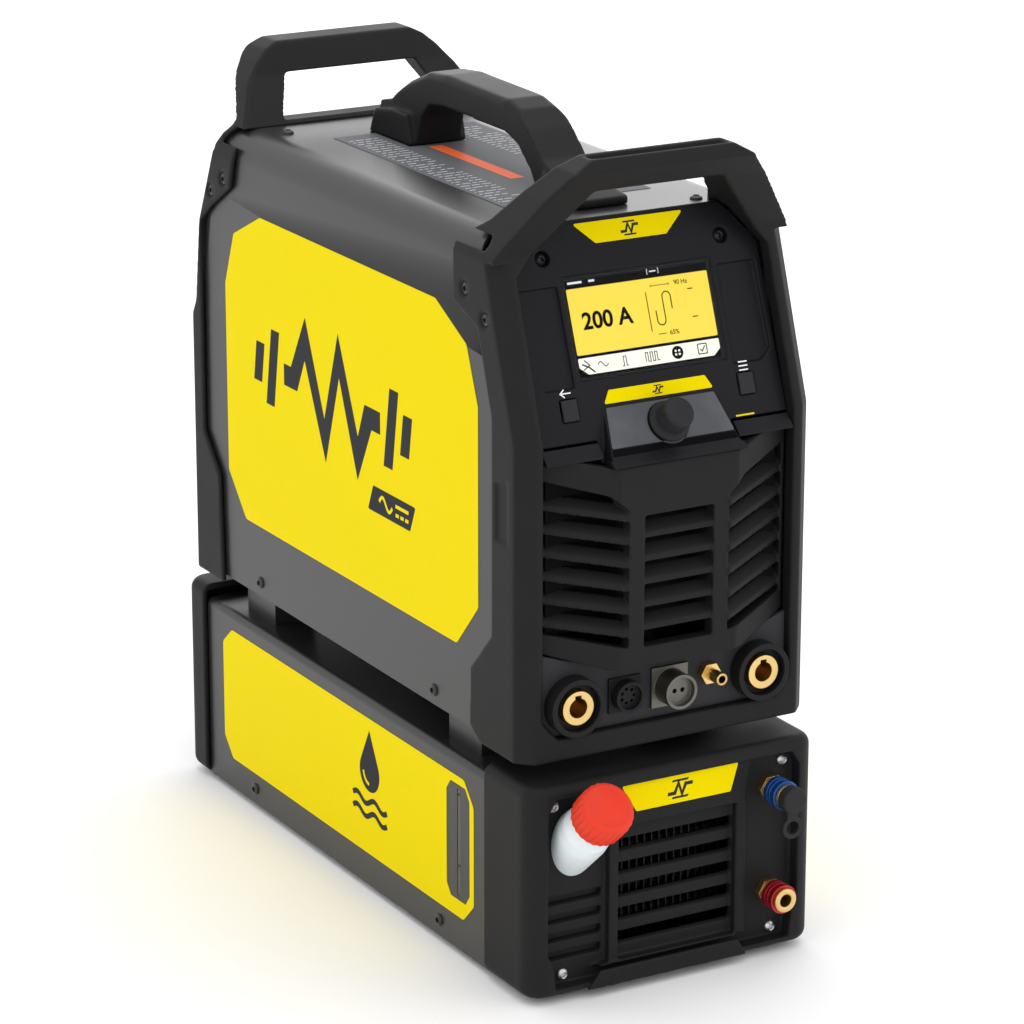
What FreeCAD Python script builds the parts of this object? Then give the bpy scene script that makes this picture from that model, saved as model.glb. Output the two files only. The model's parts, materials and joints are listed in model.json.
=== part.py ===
import FreeCAD, Part
import Sketcher
import math
import os

# Portable TIG power source standing on its water cooler.
# X to the right seen from the front, front faces -Y, +Z up, millimetres.
# Origin: centre of the outer box, on the surface the rubber feet stand on.

SIZES = {
    "half_width": 114.5,        # moulded frames, from the middle plane
    "cover_half": 110.5,        # bent sheet covers
    "sheet_thick": 1.5,
    "feet_height": 6.0,
    "cooler_top": 158.0,        # top of the cooler bezels
    "cooler_cover_top": 148.0,
    "cooler_front": 254.0,      # bezel rim, distance in front of the origin
    "cooler_face": 244.0,
    "cooler_seam": 190.0,       # rear edge of the front bezel
    "cooler_rear": 280.0,
    "cooler_rear_seam": 248.0,
    "case_bottom": 175.0,       # underside of the power source
    "frame_bottom": 171.0,      # underside of its moulded frames
    "cover_top": 523.0,
    "cover_bend": 22.0,
    "rim_front": 242.0,         # front rim of the power source
    "rear_back": 266.0,
    "bar_top": 577.0,
    "lip_half": 97.5,           # inside of the front frame
    "panel_tilt": 20.7,
    "panel_pivot_y": 207.0,     # a point of the tilted panel, in front of the origin
    "panel_pivot_z": 458.0,
    "display_half": 58.0,
    "display_low": -34.5,
    "display_high": 35.7,
    "key_x": 68.9,
    "key_z": -52.2,
    "key_width": 12.0,
    "key_height": 14.5,
    "knob_tilt": 38.0,
    "knob_y": 237.0,
    "knob_z": 394.4,
    "knob_radius": 11.2,
    "skirt_radius": 14.6,
    "knob_height": 19.0,
    "shaft_radius": 3.0,
    "louvre_pitch": 16.2,
    "belt_z": 246.0,
    "brow_z": 338.0,
    "grille_face": 254.0,
    "socket_x": 73.5,
    "socket_z": 208.5,
    "socket_flange": 20.5,
    "socket_insert": 12.0,
    "socket_bore": 6.75,
    "socket_face": 248.0,
    "connector_face": 236.0,
    "gas_bore": 2.6,
    "coupling_x": 81.0,
    "outlet_z": 123.0,
    "inlet_z": 46.0,
    "coupling_tip": 270.0,
    "coupling_bore": 4.5,
    "collar_gap": 3.8,
    "filler_x": 74.0,
    "filler_z": 112.0,
    "filler_angle": 48.0,
    "cap_radius": 19.5,
    "cap_height": 22.0,
    "switch_radius": 17.0,
    "switch_x": 55.0,
    "switch_z": 448.0,
    "rear_tail": 300.6,
    "fan_radius": 56.0,
    "cooler_fan_radius": 52.0,
    "grip_half": 18.0,
}

doc = FreeCAD.newDocument("tig_welder")
table = doc.addObject("Spreadsheet::Sheet", "sizes")
for row, (alias, value) in enumerate(SIZES.items(), start=1):
    table.set("A%d" % row, alias)
    table.set("B%d" % row, str(value))
    table.setAlias("B%d" % row, alias)
doc.recompute()


class Size:
    """A length that knows both its value and the sheet expression it comes from."""

    def __init__(self, value, text):
        self.value = value
        self.text = text

    @staticmethod
    def of(item):
        return item if isinstance(item, Size) else Size(float(item), repr(float(item)))

    def __add__(self, other):
        other = Size.of(other)
        return Size(self.value + other.value, "(%s + %s)" % (self.text, other.text))

    def __sub__(self, other):
        other = Size.of(other)
        return Size(self.value - other.value, "(%s - %s)" % (self.text, other.text))

    def __mul__(self, factor):
        other = Size.of(factor)
        return Size(self.value * other.value, "(%s * %s)" % (self.text, other.text))

    def __truediv__(self, factor):
        return self * (1.0 / factor)

    def __neg__(self):
        return self * -1.0

    def __radd__(self, other):
        return Size.of(other) + self

    def __rsub__(self, other):
        return Size.of(other) - self

    __rmul__ = __mul__


class Sheet:
    """The driving dimensions, read by name: dim.cover_top."""

    def __getattr__(self, alias):
        return Size(SIZES[alias], "sizes." + alias)


dim = Sheet()
PLANE_OF = {"X": "YZ_Plane", "Y": "XZ_Plane", "Z": "XY_Plane"}
NORMAL_SIGN = {"X": 1.0, "Y": -1.0, "Z": 1.0}


def bind(item, path, size):
    """Ties one property of a document object to the sheet."""
    item.setExpression(path, Size.of(size).text)


def circle(u, v, radius):
    return ("circle", u, v, radius)


def rectangle(u_low, u_high, v_low, v_high):
    return [(u_low, v_low), (u_high, v_low), (u_high, v_high), (u_low, v_high)]


def centred(u, v, width, height):
    """A rectangle round a centre point."""
    return rectangle(u - width / 2.0, u + width / 2.0, v - height / 2.0, v + height / 2.0)


def mirrored(outline):
    """The same outline on the other side of the middle plane."""
    return [(-1.0 * u, v) for u, v in reversed(outline)]


def both_sides(outline):
    """A symmetrical outline from its right half, listed from bottom to top."""
    return list(outline) + mirrored(outline)


def hexagon(u, v, across_flats):
    radius = across_flats / math.sqrt(3.0)
    return [(u + radius * math.cos(math.radians(60 * k)), v + radius * math.sin(math.radians(60 * k)))
            for k in range(6)]


class Piece:
    """One sub-part: a PartDesign body made of sketched pads, cuts, rounds and bevels."""

    made = []

    def __init__(self, name, at=(0, 0, 0), tilt=0.0):
        self.body = doc.addObject("PartDesign::Body", name)
        self.body.Label = name
        self.body.AllowCompound = True
        turn = FreeCAD.Rotation(FreeCAD.Vector(1, 0, 0), Size.of(tilt).value)
        spot = FreeCAD.Vector(*[Size.of(c).value for c in at])
        self.body.Placement = FreeCAD.Placement(spot, turn)
        for letter, coordinate in zip("xyz", at):
            bind(self.body, "Placement.Base." + letter, coordinate)
        self.count = 0
        Piece.made.append(self)

    def origin_part(self, role):
        return [f for f in self.body.Origin.OriginFeatures if f.Role == role][0]

    def new(self, kind, word):
        self.count += 1
        return self.body.newObject(kind, "%s_%s%d" % (self.body.Name, word, self.count))

    def sketch(self, axis, level, loops):
        """A sketch across an axis; each loop is a list of points or a circle."""
        sketch = self.new("Sketcher::SketchObject", "outline")
        sketch.AttachmentSupport = [(self.origin_part(PLANE_OF[axis]), "")]
        sketch.MapMode = "FlatFace"
        offset = Size.of(level) * NORMAL_SIGN[axis]
        sketch.AttachmentOffset = FreeCAD.Placement(
            FreeCAD.Vector(0, 0, offset.value), FreeCAD.Rotation())
        bind(sketch, "AttachmentOffset.Base.z", offset)
        for loop in loops:
            if loop[0] == "circle":
                self.add_circle(sketch, *loop[1:])
            else:
                self.add_polygon(sketch, loop)
        return sketch

    @staticmethod
    def pin(sketch, geometry, point, u, v):
        """Holds one sketch point at its distances from the two sketch axes."""
        for kind, axis_line, size in (("DistanceX", -2, Size.of(u)), ("DistanceY", -1, Size.of(v))):
            if abs(size.value) < 1e-9:
                sketch.addConstraint(Sketcher.Constraint("PointOnObject", geometry, point, axis_line))
                continue
            index = sketch.addConstraint(
                Sketcher.Constraint(kind, -1, 1, geometry, point, size.value))
            if "sizes." in size.text:
                sketch.setExpression("Constraints[%d]" % index, size.text)

    def add_circle(self, sketch, u, v, radius):
        radius = Size.of(radius)
        spot = FreeCAD.Vector(Size.of(u).value, Size.of(v).value, 0)
        ring = sketch.addGeometry(Part.Circle(spot, FreeCAD.Vector(0, 0, 1), radius.value), False)
        index = sketch.addConstraint(Sketcher.Constraint("Radius", ring, radius.value))
        if "sizes." in radius.text:
            sketch.setExpression("Constraints[%d]" % index, radius.text)
        self.pin(sketch, ring, 3, u, v)

    def add_polygon(self, sketch, points):
        spots = [FreeCAD.Vector(Size.of(u).value, Size.of(v).value, 0) for u, v in points]
        first = sketch.GeometryCount
        last = first + len(spots) - 1
        for start, end in zip(spots, spots[1:] + spots[:1]):
            sketch.addGeometry(Part.LineSegment(start, end), False)
        for line in range(first, last + 1):
            following = first if line == last else line + 1
            sketch.addConstraint(Sketcher.Constraint("Coincident", line, 2, following, 1))
        for line, (u, v) in zip(range(first, last + 1), points):
            self.pin(sketch, line, 1, u, v)

    def pad(self, axis, low, high, *loops):
        """Adds the loops' area between two levels of an axis."""
        start = high if axis == "Y" else low
        feature = self.new("PartDesign::Pad", "pad")
        feature.Profile = self.sketch(axis, start, loops)
        bind(feature, "Length", Size.of(high) - low)
        return self.done(feature)

    def cut(self, axis, low, high, *loops):
        """Removes the loops' area between two levels of an axis."""
        start = low if axis == "Y" else high
        before = self.body.Tip.Shape.Volume
        feature = self.new("PartDesign::Pocket", "cut")
        feature.Profile = self.sketch(axis, start, loops)
        bind(feature, "Length", Size.of(high) - low)
        self.done(feature)
        if feature.Shape.Volume > before - 1e-6:
            raise RuntimeError("%s: a cut removes nothing" % self.body.Label)
        return feature

    def turn(self, *profile):
        """Adds a solid of revolution about the body's own Z axis; profile in (radius, height)."""
        feature = self.new("PartDesign::Revolution", "turn")
        feature.Profile = self.sketch("Y", 0.0, [list(profile)])
        feature.ReferenceAxis = (feature.Profile[0], ["V_Axis"])
        feature.Angle = 360.0
        return self.done(feature)

    def edges(self, test):
        """Names of the tip's edges whose midpoint and direction pass the test."""
        found = []
        for number, edge in enumerate(self.body.Tip.Shape.Edges, start=1):
            middle = edge.valueAt((edge.FirstParameter + edge.LastParameter) / 2.0)
            run = edge.tangentAt((edge.FirstParameter + edge.LastParameter) / 2.0)
            if test(middle, run):
                found.append("Edge%d" % number)
        return found

    def soften(self, kind, size, test):
        """Rounds (Fillet) or bevels (Chamfer) the chosen edges."""
        names = self.edges(test)
        base = self.body.Tip
        feature = self.new("PartDesign::" + kind, kind.lower())
        feature.Base = (base, names)
        bind(feature, "Radius" if kind == "Fillet" else "Size", size)
        return self.done(feature)

    def polar(self, feature, axis, count):
        """Repeats a feature round one of the body's own axes."""
        pattern = self.new("PartDesign::PolarPattern", "ring")
        pattern.Originals = [feature]
        pattern.Axis = (self.origin_part(axis + "_Axis"), [""])
        pattern.Angle = 360.0
        pattern.Occurrences = count
        return self.done(pattern)

    def row(self, feature, axis, length, count):
        """Repeats a feature along one of the body's own axes."""
        pattern = self.new("PartDesign::LinearPattern", "row")
        pattern.Originals = [feature]
        pattern.Direction = (self.origin_part(axis + "_Axis"), [""])
        bind(pattern, "Length", length)
        pattern.Occurrences = count
        return self.done(pattern)

    def done(self, feature):
        self.body.Tip = feature
        doc.recompute()
        if feature.Shape.isNull() or not feature.isValid():
            raise RuntimeError("%s: %s failed" % (self.body.Label, feature.Name))
        return feature


def along_y(middle, run):
    return abs(run.y) > 0.99


def along_z(middle, run):
    return abs(run.z) > 0.99


# ---------------------------------------------------------------- water cooler

COOLER_LOW = 4.5                # underside of the bezels
PANEL_SCREWS = ((-69.3, 49.5), (69.3, 49.5))     # across the tilted panel and up its slope
PANEL_WELL = 5.4
HEAD_RADIUS = 4.4               # case screws
HEAD_HEIGHT = 2.4
WELL_RADIUS = 5.6               # counterbores of the frame screws
WELL_DEPTH = 2.5
KEY_SIZE = 3.6
COVER_SCREWS = [(-120.0, 17.0), (170.0, 17.0), (155.0, 186.5), (-113.8, 186.5)]
FRAME_SCREWS = [(-164.3, 484.3), (-191.1, 468.7), (199.5, 485.5), (220.5, 473.0)]
TRAY_LOW = 6.0
CORNER_ROUND = 15.0


def rubber_feet():
    feet = Piece("rubber_feet")
    spots = [(x, y) for x in (-88.0, 88.0) for y in (-172.0, 200.0)]
    feet.pad("Z", 0.0, dim.feet_height, *[circle(x, y, 11.0) for x, y in spots])
    feet.soften("Chamfer", 1.5, lambda middle, run: middle.z < 0.1)


def cooler_base():
    base = Piece("cooler_base")
    half = dim.cover_half - dim.sheet_thick
    front = -dim.cooler_seam
    rear = dim.cooler_rear_seam
    base.pad("Z", TRAY_LOW, TRAY_LOW + 1.5, rectangle(-half, half, front, rear))
    for low, high in ((half - 1.5, half), (-half, 1.5 - half)):
        base.pad("Z", TRAY_LOW + 1.5, 26.0, rectangle(low, high, front, rear))


def sheet_cover(name, low, top, front, rear, bend):
    """An inverted channel bent from sheet, open below."""
    cover = Piece(name)
    half = dim.cover_half
    inner = half - dim.sheet_thick
    cover.pad("Y", front, rear, rectangle(-half, half, low, top))
    cover.cut("Y", front - 1.0, rear + 1.0, rectangle(-inner, inner, low - 1.0, top - dim.sheet_thick))
    outer_top = Size.of(top).value - 0.1
    inner_top = Size.of(top).value - SIZES["sheet_thick"]
    cover.soften("Fillet", bend, lambda m, run: along_y(m, run) and m.z > outer_top)
    cover.soften("Fillet", bend - dim.sheet_thick,
                 lambda m, run: along_y(m, run) and abs(m.z - inner_top) < 0.1 and abs(m.x) > 100)
    return cover


def cooler_cover():
    cover = sheet_cover("cooler_cover", 5.0, dim.cooler_cover_top, -dim.cooler_seam,
                        dim.cooler_rear_seam, Size.of(6.0))
    slot = rectangle(-150.0, -146.0, 45.0, 124.0)
    cover.cut("X", -dim.cover_half - 1.0, -dim.cover_half + 3.0, slot)


def level_window():
    window = Piece("level_window")
    inner = -dim.cover_half + dim.sheet_thick
    window.pad("X", inner, inner + 1.5, rectangle(-156.0, -140.0, 40.0, 129.0))
    window.pad("X", inner - 1.2, inner, rectangle(-149.8, -146.2, 45.2, 123.8))


def cooler_front_bezel():
    bezel = Piece("cooler_front_bezel")
    half = dim.half_width
    rim = -dim.cooler_front
    face = -dim.cooler_face
    seam = -dim.cooler_seam
    top = dim.cooler_top
    bezel.pad("Y", rim, seam, rectangle(-half, half, COOLER_LOW, top))
    bezel.soften("Fillet", CORNER_ROUND, lambda m, run: along_z(m, run) and m.y < -250)
    bezel.soften("Fillet", 8.0, lambda m, run: along_y(m, run))
    bezel.cut("Y", face + 4.0, seam + 1.0, rectangle(4.0 - half, half - 4.0, 9.0, top - 5.0))
    window = both_sides([(96.0, 30.0), (100.0, 36.0), (100.0, 139.0), (94.0, 149.0)])
    low_window = both_sides([(66.0, 11.0), (94.0, 11.0), (96.0, 30.0)])
    bezel.cut("Y", rim - 1.0, face, window)
    bezel.cut("Y", rim - 1.0, face, low_window)
    bezel.pad("Y", -251.0, face, [(-50.0, 118.0), (58.0, 118.0), (62.0, 148.5), (-50.0, 148.5)])
    bezel.pad("Y", -251.0, face, [(-62.0, 19.0), (52.0, 19.0), (50.0, 21.0), (-50.0, 21.0)])
    bezel.pad("Y", -250.0, face, rectangle(-50.0, -42.5, 20.0, 118.0))
    bezel.pad("Y", -250.0, face, rectangle(51.5, 60.0, 20.0, 118.0))
    lip = [(-70.0, COOLER_LOW + 2.0), (58.0, COOLER_LOW + 2.0), (50.0, 19.0), (-60.0, 19.0)]
    bezel.pad("Y", -257.0, rim, lip)
    for level in range(5):
        low = 24.5 + 17.0 * level
        blade = [(-255.0, low), (-238.0, low + 8.0), (-238.0, low + 16.5), (-255.0, low + 10.5)]
        bezel.cut("X", -42.0, 51.0, blade)
    for level in range(4):
        low = 24.0 + 13.5 * level
        blade = [(-255.0, low), (-238.0, low + 6.0), (-238.0, low + 11.5), (-255.0, low + 8.0)]
        bezel.cut("X", -96.0, -53.0, blade)
    bezel.cut("Y", face - 1.0, face + 5.0, circle(-dim.filler_x, dim.filler_z, 12.0))
    stems = [circle(dim.coupling_x, z, 6.2) for z in (dim.outlet_z, dim.inlet_z)]
    bezel.cut("Y", face - 1.0, face + 5.0, *stems)


def cooler_rear_bezel():
    bezel = Piece("cooler_rear_bezel")
    half = dim.half_width
    seam = dim.cooler_rear_seam
    rear = dim.cooler_rear
    bezel.pad("Y", seam, rear, rectangle(-half, half, COOLER_LOW, dim.cooler_top))
    bezel.soften("Fillet", CORNER_ROUND, lambda m, run: along_z(m, run) and m.y > 275)
    bezel.soften("Fillet", 8.0, lambda m, run: along_y(m, run))
    bezel.cut("Y", seam - 1.0, rear - 12.0,
              rectangle(4.0 - half, half - 4.0, 9.0, dim.cooler_top - 5.0))
    bezel.cut("Y", rear - 8.0, rear + 1.0, rectangle(-98.0, 98.0, 16.0, 146.0))
    vent = [rectangle(-70.0, 30.0, 28.0 + 14.0 * k, 36.0 + 14.0 * k) for k in range(8)]
    bezel.cut("Y", rear - 13.0, rear - 7.0, *vent)
    bezel.cut("Y", rear - 13.0, rear - 7.0, rectangle(56.0, 84.0, 96.0, 118.0))


def cooler_socket():
    """Supply connector of the cooler, behind its rear opening."""
    socket = Piece("cooler_socket")
    rear = dim.cooler_rear
    socket.pad("Y", rear - 24.0, rear - 12.0, rectangle(52.0, 88.0, 92.0, 122.0))
    socket.pad("Y", rear - 12.0, rear - 6.0, rectangle(56.5, 83.5, 96.5, 117.5))
    holes = [circle(62.0 + 8.0 * k, z, 1.8) for k in range(3) for z in (102.0, 112.0)]
    socket.cut("Y", rear - 14.0, rear - 5.0, *holes)


def filler_neck():
    """Translucent neck that leans forward; its root is cut flush with the bezel face."""
    neck = Piece("filler_neck", at=(-dim.filler_x, -dim.cooler_face, dim.filler_z),
                 tilt=dim.filler_angle)
    slope = 1.0 / math.tan(math.radians(SIZES["filler_angle"]))
    profile = [(12.0, -26.0), (18.0, -26.0), (18.6, 0.0), (18.8, 14.0), (17.8, 23.0), (15.5, 29.0),
               (14.6, 34.0), (14.0, 37.0), (14.0, 52.0), (11.0, 52.0), (11.0, 30.0), (12.0, 20.0)]
    neck.turn(*profile)
    reach = 40.0
    behind = [(-reach, -reach * slope), (reach, reach * slope), (reach, -80.0), (-reach, -80.0)]
    neck.cut("X", -30.0, 30.0, behind)


def filler_cap():
    cap = Piece("filler_cap", at=(-dim.filler_x, -dim.cooler_face, dim.filler_z),
                tilt=dim.filler_angle)
    top = 60.0
    low = top - dim.cap_height
    cap.pad("Z", low, top, circle(0.0, 0.0, dim.cap_radius))
    cap.soften("Chamfer", 1.6, lambda m, run: m.z > top - 0.1)
    cap.cut("Z", low - 1.0, 54.6, circle(0.0, 0.0, 14.8))
    cap.cut("Z", top - 1.2, top + 1.0, circle(0.0, 0.0, dim.cap_radius - 4.5))
    notches = [circle((SIZES["cap_radius"] + 0.5) * math.cos(math.radians(20 * k)),
                      (SIZES["cap_radius"] + 0.5) * math.sin(math.radians(20 * k)), 1.4)
               for k in range(18)]
    cap.cut("Z", low - 1.0, top - 3.0, *notches)


def cap_seal():
    seal = Piece("cap_seal", at=(-dim.filler_x, -dim.cooler_face, dim.filler_z),
                 tilt=dim.filler_angle)
    seal.pad("Z", 52.35, 54.2, circle(0.0, 0.0, 14.2), circle(0.0, 0.0, 10.0))


def coupling(name, height):
    """Brass quick coupling: hexagon, stem, and an open nose with a bore."""
    body = Piece(name)
    face = -dim.cooler_face
    tip = -dim.coupling_tip
    x = dim.coupling_x
    body.pad("Y", face - 6.0, face, hexagon(x, height, 17.0))
    body.pad("Y", face, face + 16.0, circle(x, height, 6.0))
    body.pad("Y", tip, face - 6.0, circle(x, height, 7.2))
    body.pad("Y", tip, tip + 3.0, circle(x, height, 8.6))
    body.cut("Y", tip - 1.0, face + 17.0, circle(x, height, dim.coupling_bore))
    body.soften("Chamfer", 0.8, lambda m, run: m.y < tip.value + 0.1)


def coupling_collar(name, height):
    """Coloured release sleeve that is pushed back towards the case."""
    collar = Piece(name)
    front = -dim.coupling_tip + 3.3
    rear = -dim.cooler_face - 6.0 - dim.collar_gap
    x = dim.coupling_x
    collar.pad("Y", front, rear, circle(x, height, 10.4), circle(x, height, 7.55))
    for level in (4.0, 7.5):
        collar.cut("Y", front + level, front + level + 1.4, circle(x, height, 11.0),
                   circle(x, height, 9.9))


def dust_cap():
    """Rubber plug with a pull tab and ring, in the outlet coupling."""
    cap = Piece("dust_cap")
    tip = -dim.coupling_tip
    x = dim.coupling_x
    z = dim.outlet_z
    cap.pad("Y", tip - 0.35, tip + 9.0, circle(x, z, dim.coupling_bore - 0.08))
    cap.pad("Y", tip - 9.0, tip - 0.35, circle(x, z, 9.4))
    cap.pad("Y", tip - 6.0, tip - 2.6, [(x - 5.0, z - 6.0), (x + 5.0, z - 6.0), (x + 4.0, z - 15.0),
                                        (x - 4.0, z - 15.0)])
    cap.pad("Y", tip - 6.0, tip - 2.6, circle(x, z - 20.5, 8.0))
    cap.cut("Y", tip - 7.0, tip - 1.6, circle(x, z - 20.5, 4.8))
    cap.soften("Fillet", 1.6, lambda m, run: m.y < tip.value - 8.9)


def coolant_tank():
    tank = Piece("coolant_tank")
    back_of_face = -dim.cooler_face + 4.0
    tank.pad("Y", back_of_face + 0.5, -130.0, rectangle(-105.0, -50.0, 10.0, 136.0))
    tank.soften("Fillet", 6.0, along_y)


def radiator():
    core = Piece("radiator")
    core.pad("Y", -226.0, -196.0, rectangle(-44.0, -38.0, 14.0, 138.0), rectangle(58.0, 64.0, 14.0, 138.0))
    core.pad("Y", -218.0, -204.0, *[rectangle(-38.0, 58.0, 18.0 + 10.0 * k, 22.0 + 10.0 * k)
                                    for k in range(12)])
    fin = core.pad("Y", -222.0, -200.0, rectangle(-36.0, -35.0, 16.0, 136.0))
    core.row(fin, "X", 90.0, 16)


def fan_housing(name, centre, radius, depth):
    """Square fan frame with its motor hub on spokes; the air goes along Y."""
    frame = Piece(name, at=centre)
    half = radius + 4.0
    frame.pad("Y", 0.0, depth, rectangle(-half, half, -half, half), circle(0.0, 0.0, radius + 1.5))
    frame.pad("Y", depth - 3.0, depth, circle(0.0, 0.0, 18.0))
    arm = frame.pad("Y", depth - 3.0, depth, rectangle(16.0, radius + 3.0, -2.5, 2.5))
    frame.polar(arm, "Y", 4)
    frame.pad("Y", depth - 14.0, depth - 3.0, circle(0.0, 0.0, 3.0))


def fan_rotor(name, centre, radius, depth, blades):
    rotor = Piece(name, at=centre)
    rotor.pad("Y", 3.0, depth - 3.5, circle(0.0, 0.0, 19.0))
    rotor.cut("Y", depth - 15.0, depth - 3.0, circle(0.0, 0.0, 3.05))
    section = [(5.0, -6.0), (7.5, -6.0), (depth - 6.0, 7.5), (depth - 8.5, 7.5)]
    blade = rotor.pad("X", 17.5, radius, section)
    rotor.polar(blade, "Y", blades)


def pump():
    body = Piece("pump", at=(0.0, 40.0, 52.0))
    body.pad("Y", 0.0, 90.0, circle(0.0, 0.0, 32.0))
    body.pad("Y", -34.0, 0.0, circle(0.0, 0.0, 38.0))
    body.pad("Z", -44.5, -28.0, rectangle(-30.0, 30.0, 10.0, 80.0))
    body.pad("Y", -46.0, -34.0, circle(0.0, 0.0, 9.0))
    body.pad("Z", 30.0, 50.0, circle(0.0, -17.0, 9.0))


def docking_brackets():
    """Four pads between the cooler cover and the underside of the power source."""
    brackets = Piece("docking_brackets")
    spots = [(x, y) for x in (-78.0, 78.0) for y in (-130.0, 186.0)]
    brackets.pad("Z", dim.cooler_cover_top, dim.case_bottom + 2.0,
                 *[centred(x, y, 34.0, 46.0) for x, y in spots])


def case_screws():
    """Socket screws of both cases: one size, in bezel, covers and frames."""
    screws = Piece("case_screws")
    face = -dim.cooler_face
    front = [(-91.5, 141.0), (91.5, 141.0), (-84.0, 17.5), (84.0, 17.5)]
    screws.pad("Y", face - 3.5, face, *[circle(x, z, HEAD_RADIUS) for x, z in front])
    screws.cut("Y", face - 4.0, face - 1.4, *[hexagon(x, z, KEY_SIZE) for x, z in front])
    for low, spots in ((dim.cover_half, COVER_SCREWS), (dim.half_width - WELL_DEPTH, FRAME_SCREWS)):
        heads = [circle(y, z, HEAD_RADIUS) for y, z in spots]
        screws.pad("X", low, low + HEAD_HEIGHT, *heads)
        screws.pad("X", -low - HEAD_HEIGHT, -low, *heads)
    top = dim.cover_top
    screws.pad("Z", top, top + 2.5, circle(-78.5, 162.6, HEAD_RADIUS), circle(68.7, -159.4, HEAD_RADIUS))
    screws.pad("Z", 572.5, 574.5, circle(-44.2, -220.2, 3.2), circle(44.2, -220.2, 3.2))


def decal_pair(name, outline, holes_left=()):
    """Two thin labels, one on each side of a cover."""
    decals = Piece(name)
    half = dim.cover_half
    decals.pad("X", half, half + 0.35, outline)
    decals.pad("X", -half - 0.35, -half, outline, *holes_left)
    return decals


def cooler_decals():
    outline = [(-155.0, 29.5), (207.5, 29.5), (221.5, 45.0), (221.5, 120.7), (206.0, 133.8),
               (-156.0, 133.8), (-169.6, 117.5), (-169.6, 44.4)]
    window = [(-158.0, 42.0), (-137.0, 42.0), (-131.0, 50.0), (-131.0, 120.0), (-137.0, 128.0),
              (-158.0, 128.0), (-164.0, 120.0), (-164.0, 50.0)]
    decals = decal_pair("cooler_decals", outline, [window])
    front = [(-42.0, 148.3), (-30.0, 128.0), (45.5, 128.0), (51.5, 148.3)]
    decals.pad("Y", -251.35, -251.0, front)


# ---------------------------------------------------------------- power source

def base_pan():
    pan = Piece("base_pan")
    half = dim.cover_half - dim.sheet_thick
    low = dim.case_bottom + 2.0
    pan.pad("Z", low, low + 1.5, rectangle(-half, half, -206.0, 250.0))
    for inner, outer in ((half - 1.5, half), (-half, 1.5 - half)):
        pan.pad("Z", low + 1.5, 198.0, rectangle(inner, outer, -184.0, 250.0))


def cover():
    shell = sheet_cover("case_cover", dim.case_bottom + 0.8, dim.cover_top, -206.0, 250.0,
                        dim.cover_bend)
    cut_back = [(-207.0, 440.0), (-206.0, 440.0), (-190.0, 489.0), (-176.0, 512.0), (-170.0, 524.0),
                (-207.0, 524.0)]
    rear_slope = [(251.0, 363.5), (250.0, 364.0), (244.0, 380.5), (236.3, 443.5), (222.3, 473.3),
                  (202.3, 516.2), (197.5, 521.0), (197.5, 524.0), (251.0, 524.0)]
    for outline in (cut_back, rear_slope):
        shell.cut("X", -dim.cover_half - 1.0, dim.cover_half + 1.0, outline)


def slanted(piece, axis, level, outline, direction, length, remove=False):
    """A pad or a cut that starts on a plane across an axis and runs along a slanted direction."""
    kind = "PartDesign::Pocket" if remove else "PartDesign::Pad"
    before = piece.body.Tip.Shape.Volume
    feature = piece.new(kind, "slant")
    feature.Profile = piece.sketch(axis, level, [outline])
    feature.UseCustomVector = True
    feature.Direction = FreeCAD.Vector(*direction)
    feature.AlongSketchNormal = False
    feature.Length = length
    piece.done(feature)
    if (feature.Shape.Volume < before) != remove:
        raise RuntimeError("%s: a slanted run points the wrong way" % piece.body.Label)
    return feature


def screw_wells(frame, spots):
    """Counterbores for the screws on both sides of a frame."""
    half = dim.half_width
    wells = [circle(y, z, WELL_RADIUS) for y, z in spots]
    frame.cut("X", half - WELL_DEPTH, half + 1.0, *wells)
    frame.cut("X", -half - 1.0, WELL_DEPTH - half, *wells)


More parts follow.
